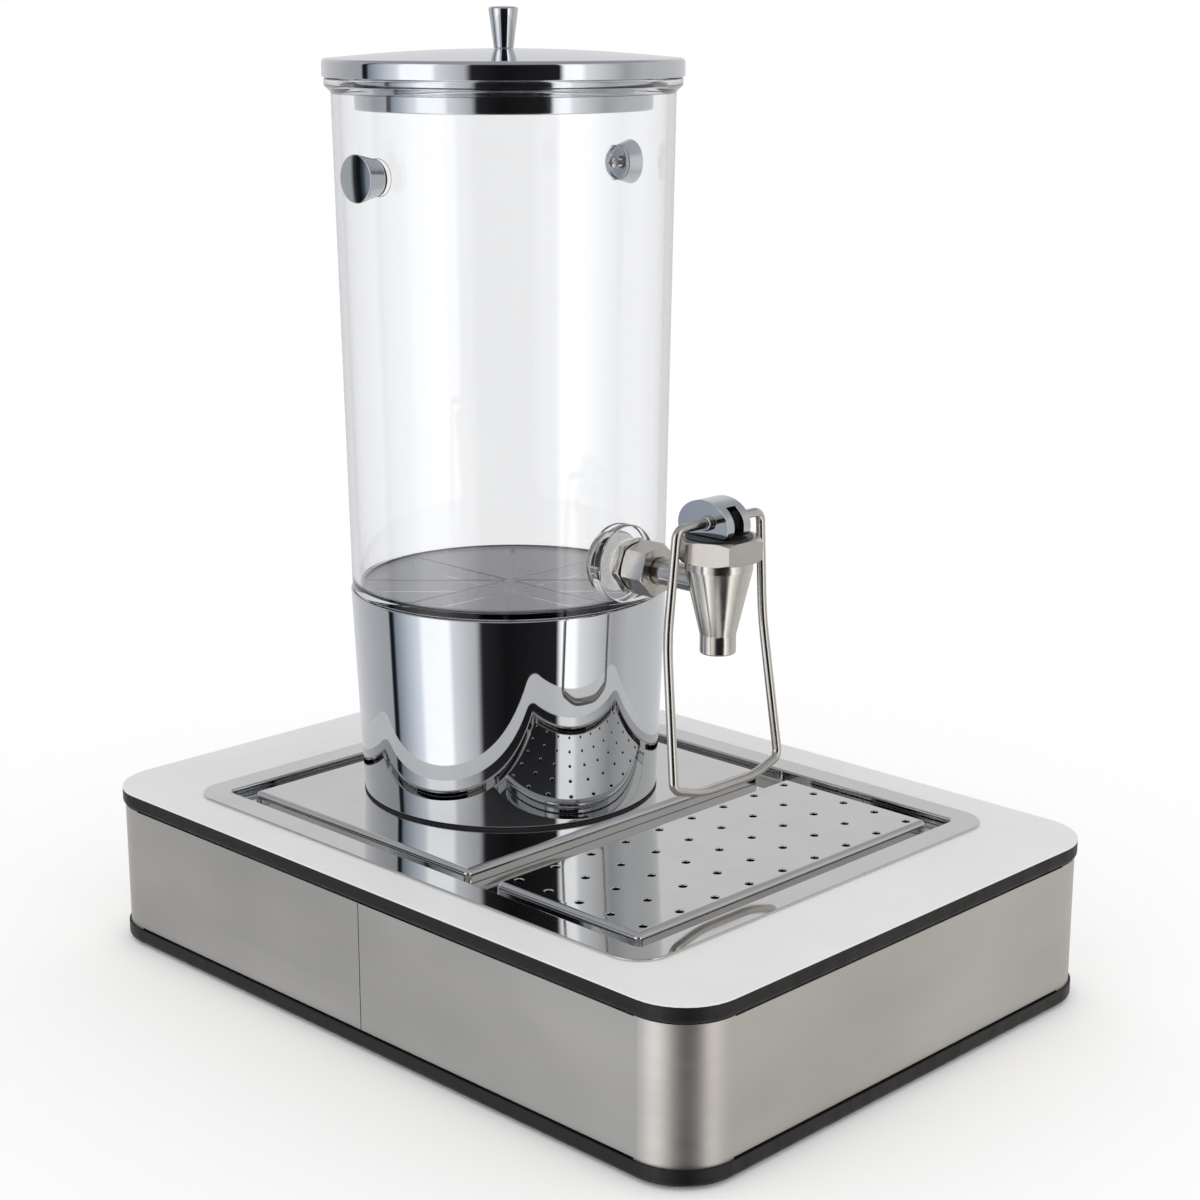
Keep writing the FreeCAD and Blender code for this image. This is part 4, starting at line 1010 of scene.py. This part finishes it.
def make_cap_nut():
    foot, top = low_z("bonnet"), high_z("bonnet")
    outline = [
        (BONNET_BORE, foot),
        *chamfered(BONNET_FLAT, foot, top, *BONNET_CHAMFER),
        (STEM_HOLE, top),
        (STEM_HOLE, top - BONNET_ROOF),
        (BONNET_BORE, top - BONNET_ROOF),
    ]
    return nut("cap_nut", outline, BONNET_CORNER, foot, top, TAP_LINE, "up", BONNET_TURN)


def make_spring():
    """The valve spring, copied from its CAD node as it stands."""
    spring = link("return_spring", frame["nodes"]["valve_spring"].data.copy())
    place_piece(spring, "valve_spring")
    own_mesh(spring)


# ------------------------------------------------------------- lever
# The cam's slot and the bail's corners are placed from the lever's pin.
CAM_HALF = 8.1
CAM_SET_BACK = 3.2
CAM_LONG, CAM_TALL, CAM_DIP = 15.8, 12.1, 1.8
CAM_FOOT, CAM_HEEL = 6.6, 3.0
OVAL_STEPS = 2880
HALVINGS = 40
HEEL_STEPS = 8
TOP_STEPS = 96
CAM_EASE = 0.35
SLOT_HALF = 3.3
SLOT_FORE, SLOT_AFT = 32.0, 6.5
SLOT_DOWN, SLOT_UP = 25.0, 7.5
PIN_REACH = 12.0
COLLAR_OUT, COLLAR_END = 3.6, 10.5
WIRE = 2.25
WIRE_HOLE = 2.3
WIRE_SIDES = 28
WIRE_EASE = 0.5
BEND_STEP = math.radians(3)
BAIL_TIP = Vector((3.1, 0, 0))
BAIL_SHOULDER = Vector((29.4, 0, 0))
BAIL_KNEE = Vector((33.8, 1.4, -52.5))
BAIL_FOOT = Vector((37.5, -7.0, -123.0))
BAIL_SAG = 5.6
BAIL_BENDS = (5.0, 140.0, 5.0, 50.0)
PIN_LINE = (0, PIVOT.y, PIVOT.z)


def oval(angle):
    return Vector((CAM_LONG * math.cos(angle), CAM_TALL * math.sin(angle) - CAM_DIP))


def cam_outline():
    """Oval with a flat foot and rounded heels, about its own middle line."""
    samples = [oval(TURN * k / OVAL_STEPS) for k in range(OVAL_STEPS)]
    level = CAM_HEEL - CAM_FOOT
    near, far = 0.0, CAM_LONG
    for _ in range(HALVINGS):
        reach = (near + far) / 2
        gap = min((p - Vector((reach, level))).length for p in samples)
        near, far = (reach, far) if gap > CAM_HEEL else (near, reach)
    centre = Vector((near, level))
    touch = min(range(OVAL_STEPS), key=lambda k: (samples[k] - centre).length)
    start = TURN * touch / OVAL_STEPS - (TURN if touch > OVAL_STEPS / 2 else 0)
    down = -math.pi / 2
    arc = (samples[touch] - centre).angle_signed(Vector((1, 0))) - down
    angles = [down + arc * k / HEEL_STEPS for k in range(HEEL_STEPS)]
    right = [centre + CAM_HEEL * Vector((math.cos(a), math.sin(a))) for a in angles]
    top = [oval(start + (math.pi - 2 * start) * k / TOP_STEPS) for k in range(TOP_STEPS + 1)]
    left = [Vector((-p.x, p.y)) for p in reversed(right)]
    return right + top + left


def make_cam_block():
    bm = bmesh.new()
    middle_y = PIVOT.y + CAM_SET_BACK
    rings = [
        [bm.verts.new((x, middle_y - p.x, PIVOT.z + p.y)) for p in cam_outline()]
        for x in (-CAM_HALF, CAM_HALF)
    ]
    capped(bm, rings)
    cam = finish_mesh(bm, "cam_block")
    bm = bmesh.new()
    low = (-SLOT_HALF, PIVOT.y - SLOT_FORE, PIVOT.z - SLOT_DOWN)
    slab(bm, low, (SLOT_HALF, PIVOT.y + SLOT_AFT, PIVOT.z + SLOT_UP))
    combine(cam, "DIFFERENCE", bm)
    bm = bmesh.new()
    cylinder(bm, PIN_LINE, "right", WIRE_HOLE, -PIN_REACH, PIN_REACH, PIN_STEPS)
    combine(cam, "DIFFERENCE", bm)
    soften(cam, CAM_EASE)
    return cam


def bent_path(points, radii):
    """Points along straight runs joined by tangent arcs, in space."""
    out = [points[0]]
    for before, here, after, radius in zip(points, points[1:], points[2:], radii):
        back = (before - here).normalized()
        ahead = (after - here).normalized()
        half = back.angle(ahead) / 2
        setback = radius / math.tan(half)
        centre = here + (back + ahead).normalized() * (radius / math.sin(half))
        first = here + back * setback - centre
        normal = back.cross(ahead).normalized()
        sweep = math.pi - 2 * half
        turns = max(3, math.ceil(sweep / BEND_STEP))
        for k in range(turns + 1):
            turn = Matrix.Rotation(-sweep * k / turns, 3, normal)
            out.append(centre + turn @ first)
    out.append(points[-1])
    return out


def wire(name, path, radius):
    """A round wire along a path, its ends eased."""
    frames = []
    heading = (path[1] - path[0]).normalized()
    spoke = heading.orthogonal().normalized()
    for index, place in enumerate(path):
        before = path[max(index - 1, 0)]
        after = path[min(index + 1, len(path) - 1)]
        new_heading = (after - before).normalized()
        spoke = heading.rotation_difference(new_heading) @ spoke
        heading = new_heading
        frames.append((place, heading, spoke))
    (start, out_of, first), (end, into, last) = frames[0], frames[-1]
    thin = radius - WIRE_EASE
    stations = [
        (start, out_of, first, thin),
        (start + out_of * WIRE_EASE, out_of, first, radius),
        *((*station, radius) for station in frames[1:-1]),
        (end - into * WIRE_EASE, into, last, radius),
        (end, into, last, thin),
    ]
    bm = bmesh.new()
    rings = []
    for place, heading, spoke, size in stations:
        side = heading.cross(spoke)
        angles = [TURN * k / WIRE_SIDES for k in range(WIRE_SIDES)]
        spokes = [spoke * math.cos(angle) + side * math.sin(angle) for angle in angles]
        rings.append([bm.verts.new(place + each * size) for each in spokes])
    capped(bm, rings)
    return finish_mesh(bm, name)


def make_wire_bail():
    """One wire from collar to collar, down both legs and round the bow."""
    lean = (BAIL_FOOT - BAIL_KNEE) * Vector((0, 1, 1))
    bow = Vector((BAIL_FOOT.x / 2, BAIL_FOOT.y, BAIL_FOOT.z)) + lean.normalized() * BAIL_SAG
    half = [BAIL_TIP, BAIL_SHOULDER, BAIL_KNEE, BAIL_FOOT, bow]
    corners = half + [Vector((-p.x, p.y, p.z)) for p in reversed(half)]
    path = bent_path(corners, BAIL_BENDS + BAIL_BENDS[::-1])
    return wire("wire_bail", [p + Vector(PIN_LINE) for p in path], WIRE)


def make_wire_collars():
    outline = [
        (WIRE_HOLE, CAM_HALF),
        (COLLAR_OUT, CAM_HALF, 0.2),
        (COLLAR_OUT, COLLAR_END, 0.8),
        (WIRE_HOLE, COLLAR_END, 0.2),
    ]
    return lathe("wire_collars", outline, PIN_LINE, SIDES, SMALL)


# ------------------------------------------------------------- lid
LID_RADIUS = 89.0
LID_SKIRT = 8.6
LID_SHEET = 1.5
LID_HOLE = 2.2
LID_SHOULDER = 2.0
DOME_BASE = 87.4
DOME_EDGE = 86.0
DOME_STEPS = 14
PLUG_RADIUS = 73.4
PLATE_RADIUS = 87.4
KNOB_FOOT = 4.8
KNOB_TOP = 7.35
KNOB_CROWN = 6.2
KNOB_RIM, KNOB_EDGE = 1.0, 0.35
KNOB_BORE, KNOB_BORE_TIP = 11, 12


def make_lid_cap():
    foot, top = low_z("lid_shell"), high_z("lid_shell")
    skirt = foot + LID_SKIRT
    rise = top - skirt
    bend = (DOME_BASE**2 + rise**2) / (2 * rise)
    reach = [LID_HOLE + (DOME_EDGE - LID_HOLE) * k / DOME_STEPS for k in range(DOME_STEPS)]
    dome = [(r, top - bend + math.sqrt(bend**2 - r**2)) for r in reach]
    inner = LID_RADIUS - LID_SHEET
    outline = [
        *((r, z - LID_SHEET) for r, z in dome),
        (inner, skirt - LID_SHOULDER, 1.0),
        (inner, foot),
        (LID_RADIUS, foot, 0.4),
        (LID_RADIUS, skirt, 2.2),
        *reversed(dome),
    ]
    return lathe("lid_cap", outline, TANK_LINE, ("up",), LARGE)


def make_lid_plug():
    foot, top = low_z("lid_plate"), high_z("lid_plate")
    under = top - LID_SHEET
    outline = [
        (LID_HOLE, under),
        (PLUG_RADIUS - LID_SHEET, under, 0.8),
        (PLUG_RADIUS - LID_SHEET, foot, 0.5),
        (PLUG_RADIUS, foot, 0.6),
        (PLUG_RADIUS, under, 0.8),
        (PLATE_RADIUS, under),
        (PLATE_RADIUS, top),
        (LID_HOLE, top),
    ]
    return lathe("lid_plug", outline, TANK_LINE, ("up",), LARGE)


def make_knob():
    foot, top = low_z("lid_knob"), high_z("lid_knob")
    outline = [
        (0, foot + KNOB_BORE_TIP),
        (SCREW_BORE, foot + KNOB_BORE),
        (SCREW_BORE, foot),
        (KNOB_FOOT, foot, 0.4),
        (KNOB_TOP, top - KNOB_RIM, 0.9),
        (KNOB_CROWN, top - KNOB_EDGE, 1.2),
        (0, top),
    ]
    return lathe("knob", outline, TANK_LINE, ("up",), MEDIUM)


# ------------------------------------------------------------- pieces
PIECES = (
    (make_laminate_face, "top_laminate"),
    (make_tray, "tray_pan"),
    (make_deck, "deck_plate"),
    (make_drip_grid, "drip_plate"),
    (make_cup, "stand_cup"),
    (make_tank, "tank_shell"),
    (make_grips, "side_grips"),
    (make_grip_screws, "grip_screws"),
    (make_stub, "port_stub"),
    (make_locking_nut, "lock_nut"),
    (make_joining_nut, "union_nut"),
    (make_pipe, "tap_pipe"),
    (make_spout, "tap_body"),
    (make_cap_nut, "bonnet"),
    (make_cam_block, "cam"),
    (make_wire_bail, "bail"),
    (make_wire_collars, "bail_collars"),
    (make_lid_cap, "lid_shell"),
    (make_lid_plug, "lid_plate"),
    (make_knob, "lid_knob"),
)
for make, node in PIECES:
    piece = make()
    even_shading(piece)
    place_piece(piece, node)
    if node == "stand_cup":
        dull_inside_with_painted_reflection(piece)
make_spring()


# ------------------------------------------------------------- studio
FLOOR_HALF = 60
FLOOR_DROP = 0.0002


def make_floor():
    bm = bmesh.new()
    bmesh.ops.create_grid(bm, x_segments=1, y_segments=1, size=FLOOR_HALF)
    mesh = bpy.data.meshes.new("studio_floor")
    bm.to_mesh(mesh)
    bm.free()
    floor = link("studio_floor", mesh)
    floor.location.z = -FLOOR_DROP
    finish = Finish("studio_paper", roughness=0.9, specular_ior_level=0.1)
    finish.set("Emission Color", (1, 1, 1, 1))
    finish.set("Emission Strength", 0.07)
    finish.tint(finish.noise(0.8, detail=1), (0.95, 0.95, 0.95), (0.96, 0.96, 0.96))
    mesh.materials.append(finish.material)
    floor.visible_glossy = False
    floor.visible_transmission = False


CAMERA_PLACE = Vector((-0.7899, -0.7890, 0.4789))
CAMERA_AIM = Vector((0.6904, 0.6799, -0.2474))
# Tall panels round the set that shiny parts see: the bearing in degrees from the
# camera's side, and the display colour there.
ROOM = (
    (-180, (0.710, 0.710, 0.718)),
    (-150, (0.714, 0.714, 0.722)),
    (-112, (0.620, 0.624, 0.631)),
    (-97, (0.588, 0.600, 0.612)),
    (-95.5, (0.071, 0.086, 0.102)),
    (-91.8, (0.071, 0.086, 0.102)),
    (-90, (0.463, 0.494, 0.533)),
    (-68, (0.816, 0.835, 0.859)),
    (-64, (0.973, 0.980, 0.988)),
    (-43, (0.988, 0.988, 0.988)),
    (-40, (0.816, 0.816, 0.824)),
    (-22, (0.659, 0.659, 0.667)),
    (-18, (0.133, 0.133, 0.141)),
    (0, (0.071, 0.071, 0.075)),
    (37, (0.118, 0.118, 0.122)),
    (40, (0.980, 0.980, 0.980)),
    (51, (1.000, 1.000, 1.000)),
    (55, (0.839, 0.839, 0.839)),
    (84, (0.596, 0.596, 0.596)),
    (100, (0.675, 0.675, 0.675)),
    (150, (0.698, 0.698, 0.698)),
    (180, (0.710, 0.710, 0.718)),
)
CEILING = (0.42, 0.43, 0.46, 1)
CEILING_START, CEILING_FULL = 0.35, 0.70
METAL_SHARE = 0.62


def linear(share):
    """Light of a display colour."""
    return share / 12.92 if share < 0.04045 else ((share + 0.055) / 1.055) ** 2.4


def make_world():
    """Soft even light; shiny parts see tall pale and dark panels round the set."""
    world = bpy.data.worlds.new("studio")
    bpy.context.scene.world = world
    world.use_nodes = True
    world.cycles.sampling_method = "NONE"
    nodes, links = world.node_tree.nodes, world.node_tree.links
    back = next(n for n in nodes if n.type == "BACKGROUND")
    place = nodes.new("ShaderNodeTexCoord").outputs["Generated"]
    toward = Vector((-CAMERA_AIM.x, -CAMERA_AIM.y, 0)).normalized()
    right = Vector((-toward.y, toward.x, 0))

    def dot(axis):
        node = nodes.new("ShaderNodeVectorMath")
        node.operation = "DOT_PRODUCT"
        links.new(place, node.inputs[0])
        node.inputs[1].default_value = axis
        return node.outputs["Value"]

    def maths(operation, *inputs):
        node = nodes.new("ShaderNodeMath")
        node.operation = operation
        for socket, value in zip(node.inputs, inputs):
            if isinstance(value, (int, float)):
                socket.default_value = value
            else:
                links.new(value, socket)
        return node.outputs["Value"]

    def mix(factor, one, two):
        node = nodes.new("ShaderNodeMix")
        node.data_type = "RGBA"
        links.new(factor, node.inputs["Factor"])
        for socket, value in ((node.inputs[6], one), (node.inputs[7], two)):
            if isinstance(value, tuple):
                socket.default_value = value
            else:
                links.new(value, socket)
        return node.outputs[2]

    angle = maths("ARCTAN2", dot(right), dot(toward))
    share = maths("ADD", maths("DIVIDE", angle, TURN), 0.5)
    ramp_node = nodes.new("ShaderNodeValToRGB")
    links.new(share, ramp_node.inputs["Fac"])
    ramp = ramp_node.color_ramp
    for bearing, _ in ROOM[1:-1]:
        ramp.elements.new(bearing / 360 + 0.5)
    for element, (bearing, colour) in zip(ramp.elements, ROOM):
        element.position = bearing / 360 + 0.5
        element.color = [linear(share) / METAL_SHARE for share in colour] + [1]
    height = nodes.new("ShaderNodeSeparateXYZ")
    links.new(place, height.inputs["Vector"])
    lift = nodes.new("ShaderNodeMapRange")
    lift.interpolation_type = "SMOOTHSTEP"
    lift.inputs["From Min"].default_value = CEILING_START
    lift.inputs["From Max"].default_value = CEILING_FULL
    links.new(height.outputs["Z"], lift.inputs["Value"])
    seen = mix(lift.outputs["Result"], ramp_node.outputs["Color"], CEILING)
    rays = nodes.new("ShaderNodeLightPath")
    mirrored = maths("MINIMUM", rays.outputs["Glossy Depth"], 1)
    scattered = maths("MINIMUM", rays.outputs["Diffuse Depth"], 1)
    shiny = maths("MULTIPLY", mirrored, maths("SUBTRACT", 1, scattered))
    links.new(mix(shiny, (1, 1, 1, 1), seen), back.inputs["Color"])


def make_camera():
    data = bpy.data.cameras.new("photo_view")
    data.lens = 68.92
    data.sensor_width = 36
    camera = link("photo_view", data)
    camera.location = CAMERA_PLACE
    camera.rotation_mode = "QUATERNION"
    camera.rotation_quaternion = CAMERA_AIM.to_track_quat("-Z", "Y")
    bpy.context.scene.camera = camera


make_floor()
make_world()
make_camera()
bpy.context.scene.view_settings.view_transform = "Standard"
